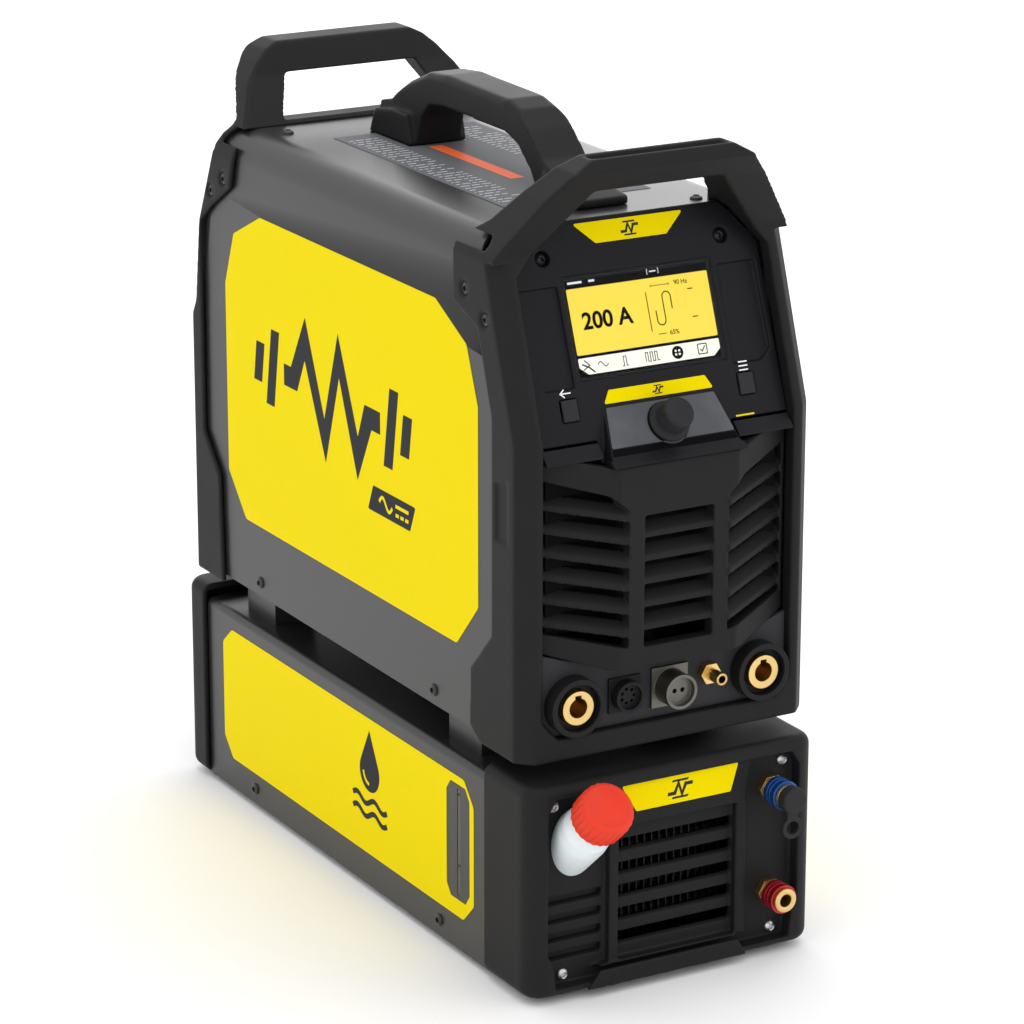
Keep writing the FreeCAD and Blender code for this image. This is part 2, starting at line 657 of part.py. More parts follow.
def front_frame():
    """Moulded front surround: two legs, a backward lean, and a grab bar that juts forward."""
    frame = Piece("front_frame")
    half = dim.half_width
    rim = -dim.rim_front
    low = dim.frame_bottom
    floor = dim.case_bottom
    side = [(rim, low), (rim, 392.0), (-206.0, 498.0), (-203.5, 511.0), (-222.0, 552.0),
            (-232.0, 568.0), (-229.0, dim.bar_top), (-210.0, dim.bar_top), (-172.0, 531.0),
            (-148.0, 516.0), (-148.0, 473.0), (-181.0, 461.0), (-200.0, 404.0), (-200.0, 252.5),
            (-171.0, 221.7), (-170.0, 180.0), (-184.0, low)]
    frame.pad("X", -half, half, side)
    corner = [(half + 1.0, 505.0), (half + 1.0, 590.0), (54.0, 590.0), (54.0, dim.bar_top),
              (68.5, 569.0), (85.0, 551.0), (112.8, 513.0), (half, 508.0)]
    frame.cut("Y", -260.0, -120.0, corner, mirrored(corner))
    bevel = [(half + 2.0, -229.0), (half + 2.0, -270.0), (74.0, -270.0), (103.5, -242.5)]
    for outline in (bevel, mirrored(bevel)):
        frame.cut("Z", low - 1.0, 392.0, outline)
        slanted(frame, "Z", 392.0, outline, (0.0, 36.0, 106.0), 122.0, remove=True)
    inner = dim.cover_half
    cavity = [(-230.0, floor + 12.0), (-230.0, 388.0), (-196.0, 489.0), (-188.0, 512.0),
              (-186.0, 523.0), (-140.0, 523.0), (-140.0, low - 1.0), (-208.0, low - 1.0),
              (-210.0, floor + 12.0)]
    frame.cut("X", -inner, inner, cavity)
    lip = dim.lip_half
    window = both_sides([(86.0, floor + 12.0), (lip, 200.0), (lip, 498.0), (49.0, 554.0)])
    frame.cut("Y", -260.0, -140.0, window)
    recess = [(-50.0, 572.5), (50.0, 572.5), (56.0, 580.0), (-56.0, 580.0)]
    frame.cut("Y", -225.5, -215.0, recess)
    for low_x, high_x in ((half - 1.5, half + 1.0), (-half - 1.0, 1.5 - half)):
        frame.cut("X", low_x, high_x, [(-222.0, 322.0), (-206.0, 322.0), (-206.0, 362.0),
                                       (-222.0, 366.0)])
    screw_wells(frame, FRAME_SCREWS[:2])


def rear_frame():
    """Moulded rear surround with a grab handle above the cover."""
    frame = Piece("rear_frame")
    half = dim.half_width
    back = dim.rear_back
    low = dim.frame_bottom
    side = [(212.0, low), (215.0, 255.0), (240.0, 284.0), (240.0, 446.0), (219.0, 462.0),
            (188.0, 481.0), (177.0, 520.0), (187.0, 523.5), (213.0, 556.0), (224.0, 578.0),
            (249.0, 578.0), (252.0, 570.0), (240.0, 556.0), (206.0, 527.0), (250.0, 490.0),
            (262.0, 475.0), (262.0, 404.0), (268.5, 361.0), (267.0, 330.0), (264.0, 222.0),
            (264.0, low)]
    frame.pad("X", -half, half, side)
    corner = [(half + 1.0, 501.0), (half + 1.0, 590.0), (56.0, 590.0), (56.0, 578.0), (66.0, 573.0),
              (75.0, 565.0), (86.0, 552.0), (102.0, 523.5), (108.5, 518.0), (113.0, 510.0),
              (half, 501.0)]
    frame.cut("Y", 150.0, 280.0, corner, mirrored(corner))
    wing = [(275.0, 366.0), (260.0, 366.0), (250.0, 383.0), (242.0, 446.0), (228.0, 477.0),
            (206.0, 526.5), (275.0, 526.5)]
    frame.cut("X", 92.0, half + 1.0, wing)
    frame.cut("X", -half - 1.0, -92.0, wing)
    bevel = [(half + 2.0, 253.0), (102.0, 269.0), (102.0, 280.0), (half + 2.0, 280.0)]
    frame.cut("Z", low - 1.0, 500.0, bevel, mirrored(bevel))
    inner = dim.cover_half
    cavity = [(170.0, low - 1.0), (252.0, low - 1.0), (252.0, 364.0), (245.0, 381.0), (237.0, 444.0),
              (223.0, 474.0), (203.0, 517.0), (198.0, 523.0), (170.0, 523.0)]
    frame.cut("X", -inner, inner, cavity)
    recess = [(230.0, 364.0), (252.0, 364.0), (252.0, 478.0), (246.0, 487.0), (215.0, 500.0)]
    frame.cut("X", -87.0, 87.0, recess)
    window = both_sides([(88.0, 189.0), (98.0, 202.0), (98.0, 352.0), (84.0, 362.0), (84.0, 462.0),
                         (78.0, 468.0)])
    frame.cut("Y", 245.0, 275.0, window)
    hole = both_sides([(68.0, 526.0), (54.0, 556.0)])
    frame.cut("Y", 190.0, 280.0, hole)
    screw_wells(frame, FRAME_SCREWS[2:])


def control_panel():
    """Tilted panel; in its own frame the face is the plane y = 0 and z runs up the slope."""
    panel = tilted("control_panel")
    edge = dim.lip_half - 0.2
    face = both_sides([(edge, -74.5), (edge, 41.5), (72.0, 72.5)])
    panel.pad("Y", 0.0, 8.0, face)
    half = dim.display_half
    panel.cut("Y", -1.0, 2.2, rectangle(-half, half, dim.display_low, dim.display_high))
    panel.cut("Y", -1.0, 9.0, rectangle(3.0 - half, half - 3.0, dim.display_low + 3.0,
                                        dim.display_high - 3.0))
    for side in (1.0, -1.0):
        well = [(62.0 * side, 30.0), (92.0 * side, 30.0), (93.0 * side, -30.0), (84.0 * side, -38.0),
                (62.0 * side, -38.0)]
        panel.cut("Y", -1.0, 2.5, well)
    wedge = [(0.0, -53.0), (-11.0, -88.0), (-17.2, -95.9), (-12.5, -94.9), (8.0, -87.2), (8.0, -53.0)]
    panel.pad("X", -52.0, 52.0, wedge)
    for side in (1.0, -1.0):
        panel.cut("Y", -20.0, 0.0, [(43.5 * side, -52.0), (53.0 * side, -52.0), (53.0 * side, -90.0),
                                    (50.0 * side, -90.0)])
    panel.cut("Y", -20.0, 9.0, rectangle(-8.0, 8.0, -82.0, -60.0))
    keys = [centred(x, dim.key_z, dim.key_width + 0.8, dim.key_height + 0.8)
            for x in (dim.key_x, -dim.key_x)]
    panel.cut("Y", -1.0, 9.0, *keys)
    panel.cut("Y", -1.0, 5.0, *[circle(x, z, PANEL_WELL) for x, z in PANEL_SCREWS])
    screws = tilted("panel_screws")
    screws.pad("Y", 1.2, 5.0, *[circle(x, z, HEAD_RADIUS) for x, z in PANEL_SCREWS])
    screws.cut("Y", 0.0, 3.2, *[hexagon(x, z, KEY_SIZE) for x, z in PANEL_SCREWS])


def tilted(name, across=0.0):
    """A piece in the tilted panel's frame."""
    return Piece(name, at=(across, -dim.panel_pivot_y, dim.panel_pivot_z), tilt=-dim.panel_tilt)


def display_parts():
    half = dim.display_half
    window = tilted("display_window")
    window.pad("Y", 0.2, 2.2, rectangle(0.2 - half, half - 0.2, dim.display_low + 0.2,
                                        dim.display_high - 0.2))
    module = tilted("display_module")
    module.pad("Y", 2.2, 8.0, rectangle(3.2 - half, half - 3.2, dim.display_low + 3.2,
                                        dim.display_high - 3.2))
    board = tilted("panel_board")
    board.pad("Y", 14.0, 15.6, rectangle(-90.0, 90.0, -60.0, 40.0))
    board.pad("Y", 8.0, 14.0, rectangle(-50.0, 50.0, -25.0, 25.0))
    board.pad("Y", 11.0, 14.0, *[centred(x, dim.key_z, 6.0, 6.0) for x in (dim.key_x, -dim.key_x)])


def key(name, across):
    button = tilted(name, across)
    button.pad("Y", -1.0, 8.0, centred(0.0, dim.key_z, dim.key_width, dim.key_height))
    button.pad("Y", 8.3, 9.8, centred(0.0, dim.key_z, dim.key_width + 3.0, dim.key_height + 3.0))
    button.pad("Y", 8.0, 8.3, centred(0.0, dim.key_z, dim.key_width, dim.key_height))
    button.soften("Fillet", 0.6, lambda m, run: m.y < -0.9)


def knob_frame(name):
    """A piece on the knob's axis: z runs out of the console along the shaft."""
    return Piece(name, at=(0.0, -dim.knob_y, dim.knob_z), tilt=90.0 - dim.knob_tilt)


def encoder_parts():
    knob = knob_frame("encoder_knob")
    top = dim.knob_height
    knob.pad("Z", 1.3, 4.6, circle(0.0, 0.0, dim.skirt_radius))
    knob.pad("Z", 4.6, top, circle(0.0, 0.0, dim.knob_radius))
    knob.soften("Fillet", 1.6, lambda m, run: m.z > top.value - 0.1)
    knob.soften("Chamfer", 1.6, lambda m, run: abs(m.z - 4.6) < 0.01 and math.hypot(m.x, m.y) > 14)
    knob.cut("Z", 0.0, 12.0, circle(0.0, 0.0, dim.shaft_radius + 0.05))
    grips = [circle((SIZES["knob_radius"] + 0.45) * math.cos(math.radians(15 * k)),
                    (SIZES["knob_radius"] + 0.45) * math.sin(math.radians(15 * k)), 0.9)
             for k in range(24)]
    knob.cut("Z", 6.0, top - 2.0, *grips)
    shaft = knob_frame("encoder_shaft")
    shaft.pad("Z", -9.0, 11.5, circle(0.0, 0.0, dim.shaft_radius))
    shaft.pad("Z", -9.8, -9.0, circle(0.0, 0.0, 4.5))
    body = knob_frame("encoder_body")
    body.pad("Z", -13.0, 0.0, rectangle(-6.5, 6.5, -6.5, 6.5))
    body.cut("Z", -8.6, 0.5, circle(0.0, 0.0, dim.shaft_radius + 0.05))
    body.cut("Z", -12.0, -8.4, circle(0.0, 0.0, 5.0))


def front_grille():
    """Three facets of louvres between a brow and a belt."""
    grille = Piece("front_grille")
    face = -dim.grille_face
    plan = [(-97.2, -231.0), (-46.0, face), (46.0, face), (97.2, -231.0), (97.2, -220.0),
            (44.0, -243.0), (-44.0, -243.0), (-97.2, -220.0)]
    grille.pad("Z", 232.0, 386.0, plan)
    above = [(-98.0, 385.0), (-52.0, 373.5), (52.0, 373.5), (98.0, 385.0), (98.0, 390.0),
             (-98.0, 390.0)]
    below = [(-98.0, 247.0), (-52.0, 232.8), (52.0, 232.8), (98.0, 247.0), (98.0, 230.0),
             (-98.0, 230.0)]
    grille.cut("Y", -260.0, -215.0, above, below)
    belt = dim.belt_z
    brow = dim.brow_z
    middle = rectangle(-27.0, 27.0, belt, brow)
    right = [(39.0, belt + 1.0), (94.0, belt + 14.0), (94.0, brow + 28.0), (52.0, brow + 16.0),
             (39.0, brow + 5.0)]
    grille.cut("Y", -260.0, -215.0, middle, right, mirrored(right))
    pitch = dim.louvre_pitch
    for level in range(5):
        z = belt + 10.5 + pitch * level
        blade = [(-252.5, z), (-243.5, z + 8.5), (-243.5, z + 11.5), (-252.5, z + 4.5)]
        grille.pad("X", -27.5, 27.5, blade)
    for side in (1.0, -1.0):
        run = (55.0 * side, 24.6, 10.0)
        for level in range(6):
            z = belt + 8.0 + pitch * level
            blade = [(-255.5, z), (-247.0, z + 8.5), (-247.0, z + 11.5), (-255.5, z + 4.5)]
            slanted(grille, "X", 39.0 * side, blade, run, math.hypot(*run))


def connector_panel():
    panel = Piece("connector_panel")
    face = -dim.connector_face
    low = dim.case_bottom + 12.0
    outline = both_sides([(85.8, low), (dim.lip_half - 0.2, 200.2), (dim.lip_half - 0.2, 246.0),
                          (52.0, 232.0)])
    panel.pad("Y", face, face + 4.0, outline)
    sockets = [circle(x, dim.socket_z, 14.5) for x in (dim.socket_x, -dim.socket_x)]
    small = [circle(-32.0, 208.5, 9.5), circle(3.5, 208.5, 11.0), circle(34.5, 212.5, 5.2)]
    panel.cut("Y", face - 1.0, face + 5.0, *sockets, *small)


def weld_sockets():
    """Panel sockets of the welding cables: insulating flange and brass insert with a keyway."""
    face = -dim.socket_face
    panel = -dim.connector_face
    spots = [(x, dim.socket_z) for x in (dim.socket_x, -dim.socket_x)]
    flange = Piece("weld_socket_flanges")
    flange.pad("Y", face, panel, *[circle(x, z, dim.socket_flange) for x, z in spots])
    flange.pad("Y", panel, panel + 30.0, *[circle(x, z, 14.3) for x, z in spots])
    flange.cut("Y", face - 1.0, panel + 31.0, *[circle(x, z, dim.socket_insert) for x, z in spots])
    flange.cut("Y", face - 1.0, face + 7.0, *[circle(x, z, dim.socket_flange - 4.0) for x, z in spots])
    insert = Piece("weld_socket_inserts")
    insert.pad("Y", face + 1.0, panel + 38.0, *[circle(x, z, dim.socket_insert) for x, z in spots])
    insert.cut("Y", face, panel + 30.0, *[circle(x, z, dim.socket_bore) for x, z in spots])
    keyways = [centred(x, z + 7.0, 4.6, 3.4) for x, z in spots]
    insert.cut("Y", face, face + 10.0, *keyways)


def small_connectors():
    panel = -dim.connector_face
    remote = Piece("remote_socket")
    remote.pad("Y", panel - 2.0, panel, centred(-32.0, 208.5, 25.0, 25.0))
    remote.pad("Y", panel - 10.0, panel - 2.0, circle(-32.0, 208.5, 11.0))
    remote.pad("Y", panel, panel + 14.0, circle(-32.0, 208.5, 9.3))
    remote.cut("Y", panel - 11.0, panel - 6.0, circle(-32.0, 208.5, 8.6))
    pins = [circle(-32.0 + 5.0 * math.cos(math.radians(51.4 * k)),
                   208.5 + 5.0 * math.sin(math.radians(51.4 * k)), 1.0) for k in range(7)]
    remote.cut("Y", panel - 7.0, panel - 1.0, *pins)
    trigger = Piece("trigger_socket")
    trigger.pad("Y", panel - 2.5, panel, centred(3.5, 208.5, 29.0, 29.0))
    trigger.pad("Y", panel - 18.0, panel - 2.5, circle(3.5, 208.5, 12.4))
    trigger.pad("Y", panel, panel + 14.0, circle(3.5, 208.5, 10.8))
    trigger.cut("Y", panel - 19.0, panel - 13.5, circle(3.5, 208.5, 10.0))
    trigger.cut("Y", panel - 15.0, panel - 5.0, circle(0.4, 208.5, 1.5), circle(6.6, 208.5, 1.5))
    gas = Piece("gas_outlet")
    gas.pad("Y", panel - 6.0, panel, hexagon(34.5, 212.5, 14.0))
    gas.pad("Y", panel - 20.0, panel - 6.0, circle(34.5, 212.5, 4.4))
    gas.pad("Y", panel, panel + 12.0, circle(34.5, 212.5, 5.0))
    gas.cut("Y", panel - 21.0, panel + 13.0, circle(34.5, 212.5, dim.gas_bore))
    gas.soften("Chamfer", 0.7, lambda m, run: m.y < panel.value - 19.9)


def carry_handle():
    """Chunky faceted handle along the middle of the cover."""
    handle = Piece("carry_handle")
    top = dim.cover_top
    arch = [(142.0, top), (133.0, 547.0), (118.0, 550.0), (92.0, 568.0), (66.0, 578.5), (40.0, 581.0),
            (-46.0, 579.5), (-64.0, 575.0), (-80.0, 564.0), (-100.0, 547.0), (-131.0, 533.0),
            (-152.0, 529.0), (-152.0, top), (-93.0, top), (-84.0, 537.0), (-66.0, 552.0),
            (-48.0, 557.5), (40.0, 558.5), (60.0, 556.0), (72.0, 545.0), (78.0, top)]
    handle.pad("X", -dim.grip_half, dim.grip_half, arch)
    foot = [(142.0, top), (134.0, 541.0), (110.0, 545.0), (84.0, 545.0), (78.0, top)]
    handle.pad("X", -dim.grip_half - 5.0, dim.grip_half + 5.0, foot)
    front_foot = [(-100.0, top), (-104.0, 540.0), (-131.0, 532.0), (-150.0, 529.0), (-150.0, top)]
    handle.pad("X", -dim.grip_half - 3.0, dim.grip_half + 3.0, front_foot)
    handle.soften("Chamfer", 4.0, lambda m, run: abs(abs(m.x) - SIZES["grip_half"]) < 0.01
                  and abs(run.x) < 0.01 and m.z > 562 and -60 < m.y < 80)


def labels():
    top = Piece("top_label")
    plate = [(-58.0, -118.0), (58.0, -118.0), (58.0, 130.0), (-58.0, 130.0)]
    handle_feet = [[(-24.0, -153.0), (24.0, -153.0), (24.0, -92.0), (-24.0, -92.0)],
                   [(-24.0, 77.0), (24.0, 77.0), (24.0, 143.0), (-24.0, 143.0)]]
    top.pad("Z", dim.cover_top, dim.cover_top + 0.3, plate)
    top.cut("Z", dim.cover_top - 1.0, dim.cover_top + 1.0, *handle_feet)
    outline = [(-146.5, 230.9), (177.0, 230.4), (205.0, 262.0), (205.0, 406.0), (146.0, 467.0),
               (-117.7, 467.0), (-161.0, 444.7), (-176.4, 405.0), (-176.4, 264.5)]
    decal_pair("case_decals", outline)
    front = tilted("front_labels")
    front.pad("Y", -0.35, 0.0, both_sides([(27.5, 55.0), (43.0, 69.5)]),
              both_sides([(42.5, -51.5), (37.5, -42.5)]))


def rear_parts():
    """Guessed rear: louvred panel, rotary mains switch, cable gland and gas inlet."""
    face = 256.0
    panel = Piece("rear_panel")
    low = dim.case_bottom
    panel.pad("Y", 250.0, 252.0, both_sides([(dim.cover_half, low + 3.5), (dim.cover_half, 360.0),
                                             (86.5, 362.0), (86.5, 476.0)]))
    vents = [rectangle(-62.0, 62.0, 236.0 + 12.0 * k, 242.0 + 12.0 * k) for k in range(11)]
    fittings = [circle(dim.switch_x, dim.switch_z, 9.0), circle(-60.0, dim.switch_z, 10.2),
                circle(0.0, 208.0, 6.2)]
    panel.cut("Y", 249.0, 253.0, *vents, *fittings)
    body = Piece("mains_switch_body", at=(dim.switch_x, 0.0, dim.switch_z))
    body.pad("Y", 228.0, 250.0, rectangle(-20.0, 20.0, -20.0, 20.0))
    body.pad("Y", 250.0, face, circle(0.0, 0.0, 8.8))
    body.cut("Y", 236.0, face + 1.0, circle(0.0, 0.0, 4.05))
    knob = Piece("mains_switch_knob", at=(dim.switch_x, 0.0, dim.switch_z))
    knob.pad("Y", face + 0.4, face + 7.0, circle(0.0, 0.0, dim.switch_radius))
    knob.pad("Y", face + 7.0, face + 20.0, rectangle(-4.5, 4.5, -15.5, 15.5))
    knob.pad("Y", 238.0, face + 0.4, circle(0.0, 0.0, 4.0))
    knob.soften("Chamfer", 1.2, lambda m, run: m.y > face + 19.9)
    gland = Piece("cable_gland")
    gland.pad("Y", 252.0, 262.0, hexagon(-60.0, dim.switch_z, 27.0))
    gland.pad("Y", 262.0, 284.0, circle(-60.0, dim.switch_z, 12.0))
    gland.pad("Y", 236.0, 252.0, circle(-60.0, dim.switch_z, 10.0))
    gland.cut("Y", 235.0, 285.0, circle(-60.0, dim.switch_z, 6.5))
    gland.soften("Fillet", 3.0, lambda m, run: m.y > 283.9 and abs(m.x + 60.0) > 11
                 or m.y > 283.9 and abs(m.z - SIZES["switch_z"]) > 11)
    inlet = Piece("gas_inlet")
    inlet.pad("Y", 252.0, 260.0, hexagon(0.0, 208.0, 17.0))
    inlet.pad("Y", 260.0, dim.rear_tail, circle(0.0, 208.0, 4.6))
    inlet.pad("Y", 236.0, 252.0, circle(0.0, 208.0, 6.0))
    for step in range(4):
        inlet.pad("Y", 276.0 + 7.0 * step, 279.0 + 7.0 * step, circle(0.0, 208.0, 5.4))
    inlet.cut("Y", 235.0, dim.rear_tail + 1.0, circle(0.0, 208.0, 2.8))


def inner_parts():
    """What the power source holds inside."""
    sink = Piece("heat_sink")
    sink.pad("Z", 330.0, 338.0, rectangle(-80.0, 80.0, -90.0, 120.0))
    fin = sink.pad("Z", 300.0, 330.0, rectangle(-78.0, -75.5, -90.0, 120.0))
    sink.row(fin, "X", 150.0, 16)
    board = Piece("power_board")
    board.pad("Z", 352.0, 354.0, rectangle(-90.0, 90.0, -110.0, 140.0))
    board.pad("Z", 338.0, 352.0, *[rectangle(-70.0 + 35.0 * k, -52.0 + 35.0 * k, -60.0, -40.0)
                                   for k in range(5)])
    board.pad("Z", 354.0, 396.0, *[circle(x, y, 15.0) for x in (-60.0, 0.0, 60.0) for y in (70.0, 110.0)])
    transformer = Piece("main_transformer")
    transformer.pad("Z", 178.5, 262.0, rectangle(-50.0, 40.0, -40.0, 60.0))
    transformer.pad("Z", 195.0, 245.0, rectangle(-62.0, 52.0, -20.0, 40.0))
    starter = Piece("arc_starter")
    starter.pad("Z", 178.5, 236.0, rectangle(50.0, 100.0, -150.0, -92.0))
    valve = Piece("gas_valve")
    valve.pad("Z", 178.5, 200.0, rectangle(18.0, 46.0, -176.0, -140.0))
    valve.pad("Z", 200.0, 232.0, circle(32.0, -158.0, 12.0))


rubber_feet()
cooler_base()
cooler_cover()
level_window()
cooler_front_bezel()
cooler_rear_bezel()
cooler_socket()
filler_neck()
filler_cap()
cap_seal()
coupling("outlet_coupling", dim.outlet_z)
coupling("inlet_coupling", dim.inlet_z)
coupling_collar("outlet_collar", dim.outlet_z)
coupling_collar("inlet_collar", dim.inlet_z)
dust_cap()
coolant_tank()
radiator()
FAN_DEPTH = 32.0
fan_housing("cooler_fan_housing", (10.0, -194.0, 78.0), dim.cooler_fan_radius, FAN_DEPTH)
fan_rotor("cooler_fan_rotor", (10.0, -194.0, 78.0), dim.cooler_fan_radius, FAN_DEPTH, 7)
pump()
docking_brackets()
case_screws()
cooler_decals()
base_pan()
cover()
front_frame()
rear_frame()
control_panel()
display_parts()
key("back_key", -dim.key_x)
key("menu_key", dim.key_x)
encoder_parts()
front_grille()
connector_panel()
weld_sockets()
small_connectors()
carry_handle()
labels()
rear_parts()
fan_housing("case_fan_housing", (0.0, 218.0, 300.0), dim.fan_radius, FAN_DEPTH)
fan_rotor("case_fan_rotor", (0.0, 218.0, 300.0), dim.fan_radius, FAN_DEPTH, 7)
inner_parts()

doc.recompute()
os.makedirs("parts", exist_ok=True)
for item in doc.Objects:
    if "Invalid" in item.State or "Error" in item.State:
        raise RuntimeError("%s is in state %s" % (item.Label, item.State))
for piece in Piece.made:
    shape = piece.body.Shape
    if shape.isNull() or not shape.isValid():
        raise RuntimeError("%s has no valid shape" % piece.body.Label)
for piece in Piece.made:
    piece.body.Shape.exportStep("parts/%s.step" % piece.body.Label)
print(len(Piece.made), "sub-parts written")
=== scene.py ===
import json
import math
import random

import bmesh
import bpy
from mathutils import Matrix, Vector


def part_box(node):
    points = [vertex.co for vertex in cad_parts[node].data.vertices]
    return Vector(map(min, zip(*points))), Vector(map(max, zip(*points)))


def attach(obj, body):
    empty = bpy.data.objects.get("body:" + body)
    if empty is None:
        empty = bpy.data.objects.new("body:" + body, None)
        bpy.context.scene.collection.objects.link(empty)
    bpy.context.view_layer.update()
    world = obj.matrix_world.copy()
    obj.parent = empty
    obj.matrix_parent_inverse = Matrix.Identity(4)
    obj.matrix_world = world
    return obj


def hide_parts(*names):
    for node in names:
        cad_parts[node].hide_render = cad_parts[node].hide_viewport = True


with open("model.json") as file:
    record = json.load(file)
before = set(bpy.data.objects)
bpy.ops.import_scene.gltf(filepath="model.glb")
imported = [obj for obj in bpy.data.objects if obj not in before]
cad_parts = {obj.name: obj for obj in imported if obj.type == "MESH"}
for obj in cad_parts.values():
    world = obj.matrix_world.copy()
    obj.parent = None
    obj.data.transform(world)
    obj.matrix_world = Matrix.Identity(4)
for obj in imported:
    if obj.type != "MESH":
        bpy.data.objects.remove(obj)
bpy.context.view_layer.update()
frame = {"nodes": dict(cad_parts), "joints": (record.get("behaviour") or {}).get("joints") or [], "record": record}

MM = 0.001
NODES = frame["nodes"]
JOINTS = {joint["name"]: joint for joint in frame["joints"]}
X, Y, Z = Vector((1, 0, 0)), Vector((0, 1, 0)), Vector((0, 0, 1))


# ------------------------------------------------------------------ shader maths

class Wire:
    """One shader output; sums and products of wires add the Math nodes they need."""

    def __init__(self, paint, socket):
        self.paint = paint
        self.socket = socket

    def math(self, operation, *terms):
        return self.paint.node("Math", {"operation": operation}, dict(enumerate(terms)))

    def __add__(self, other):
        return self.math("ADD", self, other)

    def __sub__(self, other):
        return self.math("SUBTRACT", self, other)

    def __rsub__(self, other):
        return self.math("SUBTRACT", other, self)

    def __mul__(self, other):
        return self.math("MULTIPLY", self, other)

    __radd__ = __add__
    __rmul__ = __mul__


class Paint:
    """A finish being mixed. Fixed values sit on the shader itself; the rest is wired in."""

    def __init__(self, name, **fixed):
        self.material = bpy.data.materials.new(name)
        self.material.use_nodes = True
        self.tree = self.material.node_tree
        self.shader = self.tree.nodes["Principled BSDF"]
        for label, value in fixed.items():
            self.shader.inputs[label.replace("_", " ")].default_value = value
        self.where = self.node("TexCoord", output="Object")

    def node(self, kind, settings=None, inputs=None, output=0):
        """Adds any node: its settings first, then values or wires for its sockets."""
        made = self.tree.nodes.new("ShaderNode" + kind)
        for label, value in (settings or {}).items():
            if label == "stops":
                self.set_stops(made.color_ramp, value)
            else:
                setattr(made, label, value)
        for label, value in (inputs or {}).items():
            self.feed(made.inputs[label], value)
        return Wire(self, made.outputs[output])

    @staticmethod
    def set_stops(ramp, stops):
        while len(ramp.elements) < len(stops):
            ramp.elements.new(1.0)
        for element, (spot, shade) in zip(ramp.elements, stops):
            element.position = spot
            element.color = (shade, shade, shade, 1.0)

    def feed(self, socket, value):
        if isinstance(value, Wire):
            self.tree.links.new(value.socket, socket)
        else:
            socket.default_value = value

    def noise(self, per_metre, detail=2.0, where=None):
        return self.node("TexNoise", {}, {"Vector": where or self.where, "Scale": per_metre,
                                          "Detail": detail}, "Fac")

    def ramp(self, share, *stops):
        return self.node("ValToRGB", {"stops": stops}, {"Fac": share})

    def mix(self, share, first, second):
        return self.node("Mix", {"data_type": "RGBA"}, {0: share, 6: first, 7: second}, 2)

    def stretched(self, along_x, along_y, along_z):
        return self.node("Mapping", {}, {"Vector": self.where, "Scale": (along_x, along_y, along_z)})

    def bump(self, height, strength, depth_mm):
        return self.node("Bump", {}, {"Height": height, "Strength": strength, "Distance": depth_mm * MM})

    def edge_sheen_mask(self, low=0.52, high=0.6):
        """1 where the surface turns outwards sharply: the mask for a painted highlight along edges."""
        turn = self.node("NewGeometry", output="Pointiness")
        return self.ramp(turn, (low, 0.0), (high, 1.0))

    def done(self, colour=None, roughness=None, normal=None, **more):
        wired = {"Base Color": colour, "Roughness": roughness, "Normal": normal}
        wired.update({label.replace("_", " "): value for label, value in more.items()})
        for label, value in wired.items():
            if value is not None:
                self.feed(self.shader.inputs[label], value)
        return self.material


def shade(colour, factor):
    return tuple(min(1.0, part * factor) for part in colour[:3]) + (1.0,)


def moulded(name, colour, rough, grain=1.0, sheen_lift=1.6):
    """Injection-moulded plastic with spark-eroded grain; its edges get a painted highlight, mixed lighter."""
    paint = Paint(name, Specular_IOR_Level=0.12)
    cloud = paint.noise(28.0, 3.0)
    pits = paint.noise(1500.0, 2.0)
    # painted highlight: sharp edges, broken up by noise, are mixed towards a lighter colour as if they caught the
    # light
    edge_sheen = paint.edge_sheen_mask() * paint.ramp(paint.noise(60.0, 3.0), (0.35, 0.25), (0.7, 1.0))
    ground = paint.mix(cloud, shade(colour, 0.88), shade(colour, 1.14))
    return paint.done(
        colour=paint.mix(edge_sheen * 0.55, ground, shade(colour, sheen_lift)),
        roughness=rough + 0.10 * cloud + 0.08 * pits - 0.10 * edge_sheen,
        normal=paint.bump(pits, 0.22 * grain, 0.06))


def powder_coat(name, colour, rough):
    """Satin powder coat on sheet steel: a fine orange peel, a little dust in the colour."""
    paint = Paint(name, Specular_IOR_Level=0.5)
    peel = paint.noise(520.0, 2.0)
    speck = paint.ramp(paint.noise(2400.0, 1.0), (0.45, 0.0), (0.75, 1.0))
    cloud = paint.noise(9.0, 3.0)
    ground = paint.mix(cloud, shade(colour, 0.92), shade(colour, 1.10))
    return paint.done(
        colour=paint.mix(speck * 0.25, ground, shade(colour, 1.5)),
        roughness=rough + 0.08 * cloud + 0.06 * peel,
        normal=paint.bump(peel, 0.16, 0.08))


def film(name, colour, rough=0.34):
    """Screen-printed vinyl: even ink, a faint ripple where it lies on the sheet."""
    paint = Paint(name, Specular_IOR_Level=0.02)
    ripple = paint.noise(14.0, 2.0)
    ink = paint.noise(900.0, 2.0)
    return paint.done(
        colour=paint.mix(ink, shade(colour, 0.96), shade(colour, 1.02)),
        roughness=rough + 0.10 * ripple,
        normal=paint.bump(ripple + 0.05 * ink, 0.10, 0.2))


def metal(name, colour, rough, along=(1.0, 1.0, 1.0), scratch=0.25):
    """Machined metal: fine tool marks across the given direction, darker in its hollows."""
    paint = Paint(name, Metallic=1.0)
    marks = paint.noise(900.0, 3.0, paint.stretched(*along))
    cloud = paint.noise(70.0, 3.0)
    tarnish = paint.ramp(cloud, (0.35, 0.0), (0.75, 1.0))
    return paint.done(
        colour=paint.mix(tarnish * 0.5, colour, shade(colour, 0.72)),
        roughness=rough + 0.14 * marks + 0.08 * cloud,
        normal=paint.bump(marks, scratch, 0.03))


